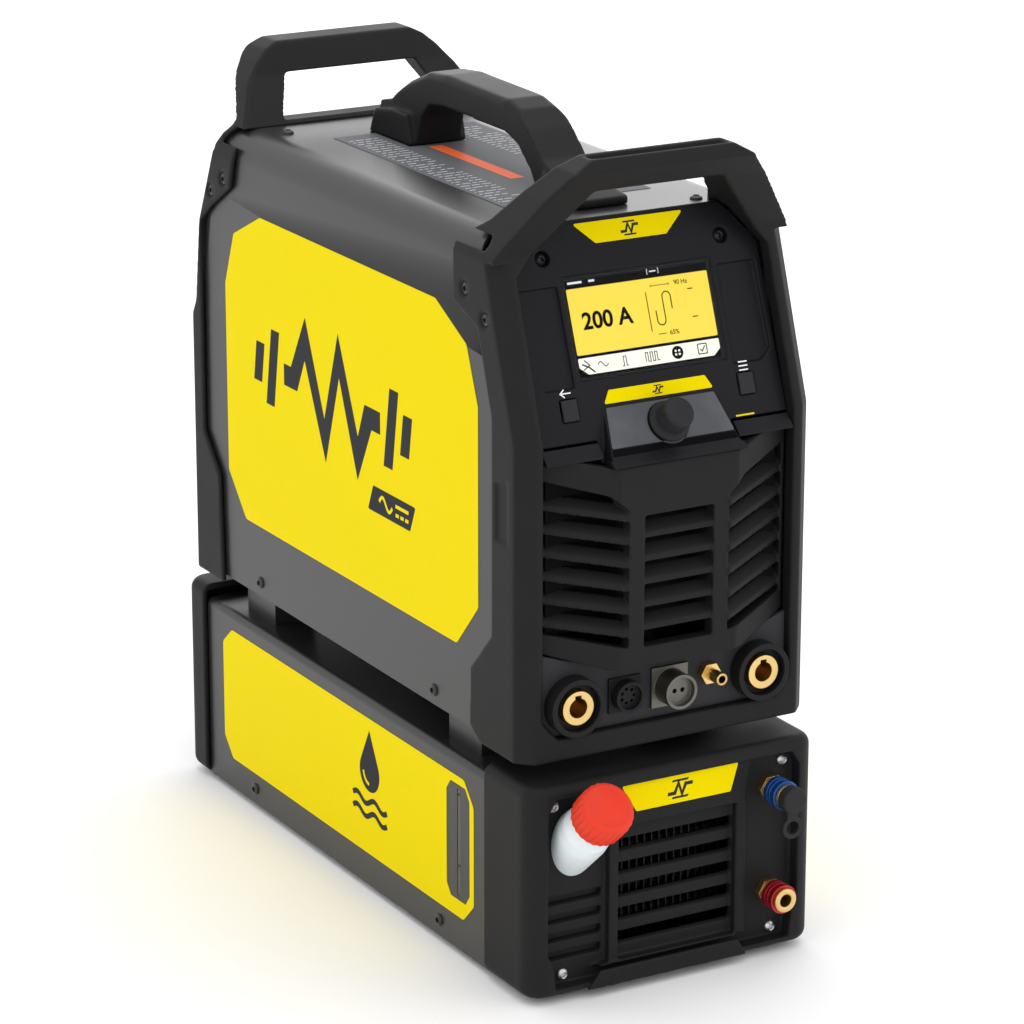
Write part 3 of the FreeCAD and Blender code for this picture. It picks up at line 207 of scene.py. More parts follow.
def anodised(name, colour, rough=0.32):
    """Dyed aluminium: the dye is deeper in some places; a painted highlight in pale metal colour runs along the
    edges.
    """
    paint = Paint(name, Metallic=0.75, Coat_Weight=0.2)
    cloud = paint.noise(160.0, 2.0)
    # painted highlight: sharp edges are mixed towards a pale metal colour
    edge_sheen = paint.edge_sheen_mask(0.54, 0.64)
    ground = paint.mix(cloud, shade(colour, 0.8), shade(colour, 1.2))
    return paint.done(
        colour=paint.mix(edge_sheen * 0.35, ground, (0.62, 0.60, 0.58, 1.0)),
        roughness=rough + 0.12 * cloud,
        normal=paint.bump(paint.noise(1100.0), 0.12, 0.03))


def rubber(name, colour):
    paint = Paint(name, Specular_IOR_Level=0.3)
    bloom = paint.noise(55.0, 4.0)
    grain = paint.noise(1300.0, 2.0)
    return paint.done(
        colour=paint.mix(bloom, shade(colour, 0.8), shade(colour, 1.5)),
        roughness=0.60 + 0.16 * bloom,
        normal=paint.bump(grain, 0.25, 0.08))


def blow_moulded(name, colour):
    """Milky polyethylene: light goes a little way in, and the wall varies in thickness."""
    paint = Paint(name, Subsurface_Weight=0.25, Subsurface_Scale=0.006, Specular_IOR_Level=0.4)
    wall = paint.noise(40.0, 3.0)
    return paint.done(
        colour=paint.mix(wall, shade(colour, 0.93), shade(colour, 1.03)),
        roughness=0.36 + 0.12 * wall,
        normal=paint.bump(wall + 0.1 * paint.noise(600.0), 0.12, 0.5))


def clear(name, colour, rough, seen):
    """Clear cover or strip; the value seen is how much of it the eye meets."""
    paint = Paint(name, IOR=1.46, Coat_Weight=0.6, Coat_Roughness=0.04)
    smear = paint.noise(30.0, 4.0)
    return paint.done(colour=paint.mix(smear, shade(colour, 0.8), shade(colour, 1.2)),
                      roughness=rough + 0.08 * smear, Alpha=seen + 0.03 * smear)


def lit(name, colour, power):
    """Lit screen: a fine dot grid and a slightly uneven backlight."""
    paint = Paint(name, Emission_Strength=power, Specular_IOR_Level=0.3)
    dots = paint.noise(3200.0, 0.0)
    light = paint.noise(12.0, 1.0)
    glow = paint.mix(light, shade(colour, 0.94), shade(colour, 1.04))
    return paint.done(colour=paint.mix(dots, shade(colour, 0.5), shade(colour, 0.6)),
                      roughness=0.30 + 0.10 * light, Emission_Color=glow)


def wound(name, colour):
    """Enamelled copper wire, turn beside turn."""
    paint = Paint(name, Metallic=0.6, Coat_Weight=0.4)
    turns = paint.node("TexWave", {"bands_direction": "Z"},
                       {"Vector": paint.where, "Scale": 170.0, "Distortion": 0.4}, "Fac")
    return paint.done(colour=paint.mix(turns, shade(colour, 0.5), shade(colour, 1.0)),
                      roughness=0.25 + 0.2 * turns, normal=paint.bump(turns, 0.6, 0.6))


def laminate(name, colour):
    """Circuit board: solder mask over a woven base."""
    paint = Paint(name, Coat_Weight=0.3)
    weave = paint.node("TexChecker", {}, {"Vector": paint.where, "Scale": 900.0}, "Fac")
    cloud = paint.noise(90.0, 3.0)
    return paint.done(colour=paint.mix(cloud, shade(colour, 0.7), shade(colour, 1.3)),
                      roughness=0.35 + 0.15 * cloud, normal=paint.bump(weave, 0.1, 0.05))


FINISH = {
    "frame_plastic": moulded("frame_plastic", (0.0125, 0.0125, 0.0132), 0.42),
    "panel_plastic": moulded("panel_plastic", (0.0085, 0.0085, 0.0105), 0.36),
    "console_plastic": moulded("console_plastic", (0.072, 0.076, 0.084), 0.40),
    "connector_plastic": moulded("connector_plastic", (0.030, 0.030, 0.033), 0.40),
    "handle_plastic": moulded("handle_plastic", (0.0105, 0.0105, 0.0115), 0.34),
    "case_paint": powder_coat("case_paint", (0.016, 0.016, 0.017), 0.24),
    "yellow_decal": film("yellow_decal", (0.815, 0.65, 0.0, 1.0)),
    "dark_ink": film("dark_ink", (0.035, 0.036, 0.040, 1.0), 0.42),
    "dark_label": film("dark_label", (0.125, 0.128, 0.137, 1.0), 0.40),
    "pale_ink": film("pale_ink", (0.62, 0.63, 0.64, 1.0), 0.45),
    "white_ink": film("white_ink", (0.86, 0.87, 0.88, 1.0), 0.40),
    "orange_ink": film("orange_ink", (1.0, 0.165, 0.05, 1.0), 0.36),
    "black_rubber": rubber("black_rubber", (0.012, 0.012, 0.012)),
    "brass": metal("brass", (0.80, 0.56, 0.22, 1.0), 0.20, (1.0, 6.0, 1.0)),
    "bore_brass": metal("bore_brass", (0.55, 0.33, 0.08, 1.0), 0.28, (1.0, 6.0, 1.0)),
    "steel": metal("steel", (0.60, 0.60, 0.61, 1.0), 0.24),
    "zinc": metal("zinc", (0.62, 0.64, 0.66, 1.0), 0.22),
    "grey_metal": metal("grey_metal", (0.16, 0.155, 0.135, 1.0), 0.34),
    "aluminium": metal("aluminium", (0.72, 0.72, 0.73, 1.0), 0.30, (1.0, 0.1, 1.0)),
    "black_screws": powder_coat("black_screws", (0.014, 0.014, 0.015), 0.26),
    "socket_plastic": moulded("socket_plastic", (0.011, 0.011, 0.012), 0.26, 0.4),
    "knob_plastic": moulded("knob_plastic", (0.022, 0.022, 0.024), 0.46),
    "key_plastic": moulded("key_plastic", (0.024, 0.024, 0.027), 0.44),
    "white_plastic": blow_moulded("white_plastic", (0.78, 0.84, 0.86)),
    "red_plastic": moulded("red_plastic", (0.72, 0.045, 0.022), 0.26, 0.3, 1.25),
    "blue_anodised": anodised("blue_anodised", (0.01, 0.09, 0.36)),
    "red_anodised": anodised("red_anodised", (0.42, 0.012, 0.02)),
    "clear_plastic": clear("clear_plastic", (0.05, 0.055, 0.06), 0.10, 0.72),
    "display_glass": clear("display_glass", (0.0, 0.0, 0.0), 0.05, 0.04),
    "display_module": film("display_module", (0.004, 0.004, 0.005, 1.0), 0.22),
    "screen_yellow": lit("screen_yellow", (0.93, 0.70, 0.06, 1.0), 0.60),
    "screen_ivory": lit("screen_ivory", (0.93, 0.93, 0.80, 1.0), 0.62),
    "screen_white": lit("screen_white", (0.80, 0.84, 0.88, 1.0), 0.55),
    "screen_dark": film("screen_dark", (0.008, 0.007, 0.006, 1.0), 0.3),
    "screen_faint": lit("screen_faint", (0.80, 0.60, 0.09, 1.0), 0.62),
    "black_fins": anodised("black_fins", (0.006, 0.006, 0.007), 0.5),
    "circuit_board": laminate("circuit_board", (0.01, 0.10, 0.035)),
    "copper_windings": wound("copper_windings", (0.55, 0.20, 0.06)),
}


# ------------------------------------------------------------------ places and shapes

class Place:
    """A flat place on the object; sizes on it are in millimetres: right, up and out of it."""

    def __init__(self, origin, right, up):
        self.origin = Vector(origin)
        self.right = Vector(right).normalized()
        self.up = Vector(up).normalized()
        self.out = self.right.cross(self.up)

    def at(self, u, v, w=0.0):
        return self.origin + MM * (u * self.right + v * self.up + w * self.out)

    def moved(self, u, v, w=0.0):
        return Place(self.at(u, v, w), self.right, self.up)

    def turned(self, degrees):
        spin = Matrix.Rotation(math.radians(degrees), 3, self.out)
        return Place(self.origin, spin @ self.right, spin @ self.up)

    def matrix(self):
        grid = Matrix((self.right, self.up, self.out)).transposed().to_4x4()
        grid.translation = self.origin
        return grid


def facing(out, origin=(0, 0, 0)):
    """A place that looks along a direction, with its up as near +Z as it can be."""
    out = Vector(out).normalized()
    up = Z if abs(out.z) < 0.99 else Y
    right = up.cross(out).normalized()
    return Place(origin, right, out.cross(right))


def span_of(node, axis):
    reach = [vertex.co.dot(axis) for vertex in NODES[node].data.vertices]
    return min(reach), max(reach)


def face_of(node, out):
    """The outermost face of a node in one direction: its place, half width and half height."""
    place = facing(out)
    (left, right), (low, high) = span_of(node, place.right), span_of(node, place.up)
    top = span_of(node, place.out)[1]
    centre = place.right * (left + right) / 2 + place.up * (low + high) / 2 + place.out * top
    return Place(centre, place.right, place.up), (right - left) / 2 / MM, (high - low) / 2 / MM


def cleaned(node):
    """A CAD node's mesh with its split corners joined and its flat faces made whole."""
    work = bmesh.new()
    work.from_mesh(NODES[node].data)
    bmesh.ops.remove_doubles(work, verts=work.verts, dist=0.002 * MM)
    bmesh.ops.dissolve_limit(work, angle_limit=math.radians(0.6), verts=work.verts, edges=work.edges)
    return work


def solids_of(node):
    """The separate solids of a node, as (lowest corner, highest corner)."""
    work = bmesh.new()
    work.from_mesh(NODES[node].data)
    bmesh.ops.remove_doubles(work, verts=work.verts, dist=0.002 * MM)
    waiting = set(work.verts)
    boxes = []
    while waiting:
        front = [waiting.pop()]
        members = list(front)
        while front:
            vertex = front.pop()
            near = [edge.other_vert(vertex) for edge in vertex.link_edges]
            fresh = [other for other in near if other in waiting]
            waiting.difference_update(fresh)
            front += fresh
            members += fresh
        spots = [vertex.co.copy() for vertex in members]
        boxes.append((Vector(map(min, zip(*spots))), Vector(map(max, zip(*spots)))))
    work.free()
    return sorted(boxes, key=lambda box: tuple(round(part, 4) for part in box[0]))


def edge_loops(node, out):
    """The outlines of a node's outermost flat face, in millimetres on its place."""
    place = face_of(node, out)[0]
    work = cleaned(node)
    level = place.origin.dot(place.out)
    flat = {face for face in work.faces if face.normal.dot(place.out) > 0.99
            and face.calc_center_median().dot(place.out) > level - 0.05 * MM}
    rim = {edge for face in flat for edge in face.edges
           if sum(neighbour in flat for neighbour in edge.link_faces) == 1}
    loops = []
    while rim:
        edge = rim.pop()
        start, vertex = edge.verts
        chain = [start]
        while vertex is not start:
            chain.append(vertex)
            edge = next(other for other in vertex.link_edges if other in rim)
            rim.discard(edge)
            vertex = edge.other_vert(vertex)
        offsets = [vertex.co - place.origin for vertex in chain]
        loops.append([(spot.dot(place.right) / MM, spot.dot(place.up) / MM) for spot in offsets])
    work.free()
    return place, sorted(loops, key=lambda loop: -abs(area_of(loop)))


def middle_of(loop):
    """The middle of an outline's box, and its height."""
    right, up = zip(*loop)
    return (min(right) + max(right)) / 2, (min(up) + max(up)) / 2, max(up) - min(up)


def area_of(loop):
    return sum(a[0] * b[1] - b[0] * a[1] for a, b in zip(loop, loop[1:] + loop[:1])) / 2


def rounded(loop, radius, steps=6):
    """The same outline with its corners turned into arcs."""
    made = []
    for before, corner, after in zip(loop[-1:] + loop[:-1], loop, loop[1:] + loop[:1]):
        here = Vector(corner)
        back, ahead = Vector(before) - here, Vector(after) - here
        angle = back.angle(ahead)
        if angle > math.radians(178):
            continue
        reach = min(radius / math.tan(angle / 2), back.length * 0.45, ahead.length * 0.45)
        first, last = here + back.normalized() * reach, here + ahead.normalized() * reach
        for step in range(steps + 1):
            t = step / steps
            made.append(tuple((1 - t) ** 2 * first + 2 * t * (1 - t) * here + t * t * last))
    return made


def box_loop(u, v, width, height, slant=0.0):
    """A rectangle round a centre, leaning by slant at its top."""
    w, h, s = width / 2, height / 2, slant / 2
    return [(u - w - s, v - h), (u + w - s, v - h), (u + w + s, v + h), (u - w + s, v + h)]


def ring_loop(u, v, radius, steps=40, start=0.0, sweep=360.0):
    count = steps if sweep >= 360.0 else steps + 1
    turns = [math.radians(start + sweep * step / steps) for step in range(count)]
    return [(u + radius * math.cos(turn), v + radius * math.sin(turn)) for turn in turns]


def stroke(points, width):
    """The outline of a line of even width with mitred corners."""
    spots = [Vector(point) for point in points]
    sides = []
    for index, spot in enumerate(spots):
        runs = []
        if index > 0:
            runs.append((spot - spots[index - 1]).normalized())
        if index < len(spots) - 1:
            runs.append((spots[index + 1] - spot).normalized())
        across = sum(runs, Vector((0, 0))).normalized()
        across = Vector((-across.y, across.x))
        half_turn = across.dot(Vector((-runs[0].y, runs[0].x)))
        sides.append((spot, across * (width / 2 / max(half_turn, 0.5))))
    left = [tuple(spot + offset) for spot, offset in sides]
    right = [tuple(spot - offset) for spot, offset in reversed(sides)]
    return left + right


def add_flat(work, place, loops, low, high):
    """A slab from an outline and its holes, between two heights over the place."""
    edges = []
    for loop in loops:
        verts = [work.verts.new(place.at(u, v, low)) for u, v in loop]
        edges += [work.edges.new(pair) for pair in zip(verts, verts[1:] + verts[:1])]
    made = bmesh.ops.triangle_fill(work, edges=edges, use_beauty=True, normal=place.out)
    faces = [item for item in made["geom"] if isinstance(item, bmesh.types.BMFace)]
    raised = bmesh.ops.extrude_face_region(work, geom=faces)
    moved = [item for item in raised["geom"] if isinstance(item, bmesh.types.BMVert)]
    bmesh.ops.translate(work, vec=place.out * (high - low) * MM, verts=moved)


def add_turned(work, place, profile, steps=72, ripple=None):
    """A turned solid: (radius, height) points, the radius may ripple round the turn."""
    rings = []
    for radius, height in profile:
        if radius == 0.0:
            rings.append([work.verts.new(place.at(0.0, 0.0, height))])
            continue
        ring = []
        for step in range(steps):
            turn = 2 * math.pi * step / steps
            r = ripple(turn, radius, height) if ripple else radius
            ring.append(work.verts.new(place.at(r * math.cos(turn), r * math.sin(turn), height)))
        rings.append(ring)
    for lower, upper in zip(rings, rings[1:]):
        for step in range(steps):
            after = (step + 1) % steps
            corners = [lower[step % len(lower)], lower[after % len(lower)],
                       upper[after % len(upper)], upper[step % len(upper)]]
            work.faces.new(list(dict.fromkeys(corners)))
    for ring in (rings[0], rings[-1]):
        if len(ring) > 1:
            work.faces.new(ring)


def piece(name, work, finish, body, stands_for=(), crease=32.0):
    """Turns finished mesh work into a piece that rides on a body."""
    bmesh.ops.recalc_face_normals(work, faces=work.faces)
    mesh = bpy.data.meshes.new(name)
    work.to_mesh(mesh)
    work.free()
    return placed(name, mesh, finish, body, stands_for, crease)


def placed(name, mesh, finish, body, stands_for=(), crease=32.0):
    mesh.shade_smooth()
    mesh.set_sharp_from_angle(angle=math.radians(crease))
    mesh.materials.clear()
    mesh.materials.append(FINISH[finish])
    made = bpy.data.objects.new(name, mesh)
    bpy.context.scene.collection.objects.link(made)
    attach(made, body)
    if stands_for:
        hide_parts(*stands_for)
    return made


def round_edges(made, width_mm, segments=3, sharper_than=30.0):
    bevel = made.modifiers.new("rounded_edges", "BEVEL")
    bevel.width = width_mm * MM
    bevel.segments = segments
    bevel.limit_method = "ANGLE"
    bevel.angle_limit = math.radians(sharper_than)
    bevel.use_clamp_overlap = False
    bevel.harden_normals = True
    return made


def joined(node):
    """A CAD node's mesh with its split corners joined."""
    work = bmesh.new()
    work.from_mesh(NODES[node].data)
    bmesh.ops.remove_doubles(work, verts=work.verts, dist=0.002 * MM)
    return work


def sheet_metal(node, finish):
    """Bent sheet: the CAD node's own shape, smooth over its bends."""
    return piece(node + "_sheet", joined(node), finish, "case", [node])


def softened(node, finish, width_mm, body="case", segments=2):
    """A small machined or moulded part: the CAD node's own shape with its edges eased."""
    made = piece(node + "_part", cleaned(node), finish, body, [node])
    return round_edges(made, width_mm, segments)


def moulding(node, finish, grain_mm, passes, keep=0.3, body="case"):
    """A big moulding: its skin is laid out again in even cells and relaxed, which rounds every edge."""
    made = piece(node + "_moulding", joined(node), finish, body, [node])
    cells = made.modifiers.new("even_cells", "REMESH")
    cells.mode = "VOXEL"
    cells.voxel_size = grain_mm * MM
    cells.use_smooth_shade = True
    relax = made.modifiers.new("round_edges", "SMOOTH")
    relax.factor = 0.5
    relax.iterations = passes
    thin = made.modifiers.new("fewer_flat_cells", "DECIMATE")
    thin.ratio = keep
    settle(made)
    return made


def settle(made):
    """Turns a piece's modifiers into its own mesh."""
    graph = bpy.context.evaluated_depsgraph_get()
    mesh = bpy.data.meshes.new_from_object(made.evaluated_get(graph))
    made.modifiers.clear()
    made.data = mesh
    mesh.shade_smooth()


def printed(name, place, shapes, finish, body="case", low=0.02, high=0.10):
    """Ink or film on a place: each shape is an outline, or an outline with holes."""
    work = bmesh.new()
    for shape in shapes:
        loops = shape if isinstance(shape[0], list) else [shape]
        add_flat(work, place, loops, low, high)
    return piece(name, work, finish, body)


def lettering(name, place, text, height, finish, weight=0.0, low=0.02, left=False):
    """Numbers and unit signs as raised print."""
    curve = bpy.data.curves.new(name, "FONT")
    curve.body = text
    curve.size = height * 1.38 * MM
    curve.align_x = "LEFT" if left else "CENTER"
    curve.align_y = "CENTER"
    curve.extrude = 0.04 * MM
    curve.offset = weight * height * MM
    holder = bpy.data.objects.new(name, curve)
    mesh = bpy.data.meshes.new_from_object(holder)
    bpy.data.objects.remove(holder)
    mesh.transform(place.moved(0.0, 0.0, low + 0.04).matrix())
    return placed(name, mesh, finish, "case")


SLOTS = {row["node"]: row["material_slot"] for row in frame["record"]["subparts"]}


# ------------------------------------------------------------------ shells that keep the CAD shape

def body_shells():
    """Moulded frames, bezels and panels, then the sheet metal."""
    for node, finish, grain, passes, keep in [
            ("front_frame", "frame_plastic", 1.2, 9, 0.3),
            ("rear_frame", "frame_plastic", 1.2, 11, 0.3),
            ("carry_handle", "handle_plastic", 1.2, 12, 0.4),
            ("front_grille", "frame_plastic", 0.8, 3, 0.3),
            ("control_panel", "panel_plastic", 0.8, 2, 0.3),
            ("connector_panel", "connector_plastic", 0.8, 2, 0.4),
            ("cooler_front_bezel", "frame_plastic", 0.9, 3, 0.25),
            ("cooler_rear_bezel", "frame_plastic", 1.2, 5, 0.3),
            ("rubber_feet", "black_rubber", 0.8, 4, 0.4)]:
        moulding(node, finish, grain, passes, keep)
    for node in ("case_cover", "cooler_cover", "base_pan", "cooler_base", "rear_panel",
                 "docking_brackets"):
        sheet_metal(node, "case_paint")


def fitting_shells():
    """Connectors, couplings and small parts."""
    for node, ease in [
            ("weld_socket_flanges", 0.7), ("weld_socket_inserts", 0.6), ("remote_socket", 0.5),
            ("trigger_socket", 0.5), ("gas_outlet", 0.3), ("outlet_coupling", 0.3),
            ("inlet_coupling", 0.3), ("cable_gland", 0.5), ("gas_inlet", 0.25),
            ("mains_switch_body", 0.4), ("cooler_socket", 0.4), ("level_window", 0.2)]:
        softened(node, SLOTS[node], ease)
    for node in ("outlet_collar", "inlet_collar", "dust_cap", "mains_switch_knob"):
        softened(node, SLOTS[node], 0.4, body=node)
    for node in ("back_key", "menu_key"):
        softened(node, "key_plastic", 0.5, body=node, segments=3)


BLACK_NODES = ("radiator", "heat_sink", "case_fan_housing", "cooler_fan_housing")


def inner_finishes():
    """Nodes that keep their CAD mesh get the finish of their slot."""
    for node, item in NODES.items():
        if not item.hide_render:
            item.data.materials.clear()
            finish = "black_fins" if node in BLACK_NODES else SLOTS[node]
            item.data.materials.append(FINISH[finish])


# ------------------------------------------------------------------ screws

def add_screw(work, place, radius, height):
    """Button-head screw with a hexagon socket."""
    rim = radius * 0.16
    socket = radius * 0.48
    dome = [(radius, 0.0), (radius, rim)]
    dome += [(radius * math.cos(math.radians(a)), rim + (height - rim) * math.sin(math.radians(a)))
             for a in (15, 30, 45)]
    dome += [(socket * 1.08, height), (socket * 0.98, height * 0.92), (socket * 0.94, height * 0.25),
             (0.0, height * 0.2)]

    def six_sided(turn, r, level):
        if r > socket:
            return r
        corner = (turn % (math.pi / 3)) - math.pi / 6
        return r * math.cos(math.pi / 6) / math.cos(corner)

    add_turned(work, place, dome, 48, six_sided)


def screw_sets():
    work = bmesh.new()
    bright = bmesh.new()
    case_low, case_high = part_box("cooler_front_bezel")
    for low, high in solids_of("case_screws"):
        centre = (low + high) / 2
        size = (high - low) / MM
        thin = min(range(3), key=lambda axis: size[axis])
        out = [X, -Y, Z][thin].copy()
        if thin == 0 and centre.x < 0:
            out = -X
        front_row = centre.z < case_high.z and centre.y < case_low.y / 2 and abs(centre.x) < 0.1
        if front_row:
            out = -Y
        depth = size[[abs(part) for part in out].index(1.0)]
        radius = sorted(size)[1] / 2
        back = centre - out * depth / 2 * MM
        add_screw(bright if front_row else work, facing(out, back), radius, depth * 0.95)
    piece("case_screw_heads", work, "black_screws", "case", ["case_screws"])
    piece("bezel_screw_heads", bright, "zinc", "case")
    work = bmesh.new()
    for low, high in solids_of("panel_screws"):
        centre = (low + high) / 2
        add_screw(work, facing(PANEL.out, centre - PANEL.out * 1.9 * MM), 4.4, 3.6)
    piece("panel_screw_heads", work, "black_screws", "case", ["panel_screws"])


# ------------------------------------------------------------------ control panel

PANEL = facing(-Vector(JOINTS["back_key_press"]["axis"]))
MODULE = face_of("display_module", PANEL.out)[0]
SCREEN_RISE = 0.6               # the screen's middle over the panel's pivot
SCREEN_DEPTH = 2.2              # the screen's face behind the panel's face


def screen():
    """Lit picture behind the glass: reading, waveform and a row of icons."""
    base = MODULE
    field = [(-54.8, -17.8), (54.8, -17.8), (54.8, 26.6), (-54.8, 26.6)]
    printed("screen_field", base, [rounded(field, 1.2)], "screen_yellow", low=0.02, high=0.06)
    bar = [(-48.5, -31.0), (49.5, -31.0), (54.8, -26.5), (54.8, -19.8), (-54.8, -19.8),
           (-54.8, -26.0)]
    printed("screen_icon_bar", base, [rounded(bar, 1.0)], "screen_ivory", low=0.02, high=0.06)
    over = base.moved(0.0, 0.0, 0.06)
    lettering("reading", over.moved(-27.5, 3.6), "200 A", 11.4, "screen_dark", 0.035)
    lettering("frequency", over.moved(33.0, 21.4), "90 Hz", 3.2, "screen_dark", 0.01)
    lettering("balance", over.moved(22.0, -11.4), "65%", 3.2, "screen_dark", 0.01)
    wave = [(10.5, 4.5)] + ring_loop(13.8, -2.4, 3.2, 8, 180.0, 180.0)
    wave += ring_loop(20.2, 13.2, 3.2, 8, 180.0, -180.0) + [(23.4, 4.5)]
    lines = [stroke(wave, 0.75), stroke([(4.9, -9.0), (4.9, 17.6)], 0.6),
             stroke([(9.5, 21.2), (23.5, 21.2)], 0.4), stroke([(9.5, -11.4), (15.5, -11.4)], 0.5)]
    lines += [stroke([(u, 20.3), (u, 22.1)], 0.4) for u in (9.5, 23.5)]
    lines += [box_loop(39.5, 16.0, 4.0, 0.7), box_loop(40.0, -3.0, 4.0, 0.7)]
    printed("waveform", over, lines, "screen_dark")
    faint = [(26.0, 4.5), (28.5, 4.5)] + ring_loop(31.4, 12.8, 2.9, 8, 180.0, -180.0)
    faint += [(34.3, 4.5)]
    printed("waveform_ghost", over, [stroke(faint, 0.6), stroke([(8.0, 4.5), (36.0, 4.5)], 0.3)],
            "screen_faint")
    status = [box_loop(-47.5, 30.4, 11.0, 1.5), box_loop(-34.5, 30.4, 4.5, 1.5),
              box_loop(13.0, 31.0, 5.0, 0.9),
              stroke([(9.2, 29.4), (8.6, 29.4), (8.6, 32.6), (9.2, 32.6)], 0.4),
              stroke([(16.8, 29.4), (17.4, 29.4), (17.4, 32.6), (16.8, 32.6)], 0.4)]
    printed("status_marks", over, status, "screen_white")
    icons(over)


def icons(over):
    """Icon row: alternating current, trigger, pulses, remote dot, sheet with a tick."""
    row = -25.3
    torch = [stroke([(-52.5, row + 1.5), (-47.5, row - 1.0), (-43.5, row - 4.6)], 1.0),
             stroke([(-50.5, row + 4.0), (-46.8, row + 0.4), (-52.0, row - 2.6)], 0.7)]
    sine = [(-40.5 + 0.8 * k, row + 1.8 * math.sin(k * math.pi / 5)) for k in range(11)]
    trigger = [stroke([(-22.0, row - 3.4), (-20.6, row - 3.4), (-20.6, row + 3.0), (-18.6, row + 3.0),
                       (-18.6, row - 3.4), (-17.2, row - 3.4)], 0.55)]
    square = [(-3.4, row - 3.0)]
    for k in range(3):
        left = -3.4 + 3.6 * k
        square += [(left, row + 3.0), (left + 1.8, row + 3.0), (left + 1.8, row - 3.0),
                   (left + 3.6, row - 3.0)]
    dot = [ring_loop(21.5, row, 4.4, 36)]
    dot += [box_loop(u, row + rise, 1.6, 1.4) for rise in (1.2, -1.2) for u in (20.1, 22.9)]
    sheet = [rounded(box_loop(41.0, row, 7.6, 7.4), 1.2), rounded(box_loop(41.0, row, 6.2, 6.0), 0.8)]
    tick = stroke([(39.2, row), (40.6, row - 1.6), (43.2, row + 2.0)], 0.7)
    shapes = torch + [stroke(sine, 0.6)] + trigger + [stroke(square, 0.55), dot, sheet, tick]
    printed("icon_row", over, shapes, "screen_dark")


def panel_print():
    """Arrow and menu marks over the keys, and the small yellow rule beside the console."""
    face = MODULE.moved(0.0, -SCREEN_RISE, SCREEN_DEPTH)
    arrow = [stroke([(-66.0, -40.5), (-73.6, -40.5)], 0.85),
             stroke([(-71.0, -37.8), (-74.0, -40.5), (-71.0, -43.2)], 0.85)]
    menu = [stroke([(65.2, v), (72.2, v)], 0.9) for v in (-37.4, -40.2, -43.0)]
    printed("key_marks", face, arrow + menu, "white_ink")
    printed("console_rule", face, [box_loop(63.7, -73.0, 14.5, 1.1)], "yellow_decal")


def console():
    """Lighter plate round the knob and the dark strip under it."""
    place = facing(KNOB_OUT, Vector(JOINTS["knob_turn"]["pos_m"])).moved(0.0, 0.0, -0.2)
    plate = rounded([(-47.6, -12.5), (47.6, -12.5), (42.0, 16.6), (-42.0, 16.6)], 1.5)
    slot = ring_loop(0.0, 0.0, 15.3, 48)
    printed("console_plate", place, [[plate, slot]], "console_plastic", low=0.02, high=0.45)
    strip = rounded([(-48.6, -18.0), (48.6, -18.0), (47.7, -13.3), (-47.7, -13.3)], 0.8)
    printed("console_strip", place, [strip], "display_module", low=0.02, high=0.4)


def emblem(work_place, height, finish, name, body="case"):
    """A generic mark: a slanted pulse between two bars."""
    s = height / 10.0
    path = [(-7.0, -2.0), (-3.0, -2.0), (-1.0, 3.0), (1.0, -3.0), (3.0, 2.0), (7.0, 2.0)]
    pulse = stroke([(u * s, v * s) for u, v in path], 1.8 * s)
    bars = [box_loop(0.0, v * s, 9.0 * s, 1.1 * s, 0.6 * s) for v in (4.3, -4.3)]
    return printed(name, work_place, [pulse] + bars, finish, body)


def knob():
    """Rotary knob: a skirt, then a finely ribbed barrel with a dished top."""
    low, high = span_of("encoder_knob", KNOB_OUT)
    place = facing(KNOB_OUT, Vector(JOINTS["knob_turn"]["pos_m"]))
    base = place.origin.dot(KNOB_OUT)
    start, top = (low - base) / MM, (high - base) / MM
    skirt, barrel = 14.6, 11.2
    profile = [(3.1, start), (skirt - 0.4, start), (skirt, start + 0.5), (skirt, start + 1.5),
               (skirt - 0.6, start + 2.4), (barrel + 1.0, start + 3.2), (barrel + 0.2, start + 3.6),
               (barrel, start + 4.3), (barrel, top - 2.0), (barrel - 0.35, top - 1.0),
               (barrel - 1.2, top - 0.2), (barrel - 2.0, top), (barrel - 3.2, top - 0.25),
               (4.0, top - 0.7), (0.0, top - 0.75)]

    def ribs(turn, radius, height):
        inside = start + 4.2 < height < top - 0.6
        return radius - (0.42 * (0.5 - 0.5 * math.cos(36 * turn)) if inside else 0.0)

    work = bmesh.new()
    add_turned(work, place, profile, 288, ribs)
    piece("encoder_knob_cap", work, "knob_plastic", "encoder_knob", ["encoder_knob"], 40.0)


KNOB_OUT = Vector(JOINTS["knob_turn"]["axis"])


def brow_shelf():
    """Closes the step between the tilted panel and the top of the grille, beside the console."""
    console_half = 53.0 * MM
    panel_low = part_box("connector_panel")[0]
    work = bmesh.new()
    for side in (-1.0, 1.0):
        near, far = side * console_half, side * (abs(panel_low.x) - 1.2 * MM)
        place = facing(side * X, (near, -0.2335, 0.3785))
        outward = place.right.y
        section = [(v * outward, rise) for v, rise in
                   ((-9.5, 0.0), (-8.6, 2.0), (-1.6, 8.6), (4.0, 7.4), (4.0, 0.0))]
        add_flat(work, place, [section], 0.0, abs(far - near) / MM)
    piece("brow_shelf", work, "panel_plastic", "case")


def grille_shade_sheet():
    """Painted shade: a near-black sheet behind the case's front grille, in place of the dark inside of the case.
    """
    place = facing(-Y, (0.0, -0.2295, 0.316))
    shade_sheet = box_loop(0.0, 0.0, 180.0, 118.0)
    printed("grille_shade_sheet", place, [shade_sheet], "display_module", low=-0.6, high=0.6)


# ------------------------------------------------------------------ films and labels

FILM = 0.3                      # thickness of a film
FILM_SET_BACK = -0.33           # from a film's outer face to where its Blender piece starts
EMBLEM_PART = 0.7               # how much of a film's height its mark takes


BEND_ALONG, BEND_UP = 0.26, 0.66     # where the rear corner of the big film bends


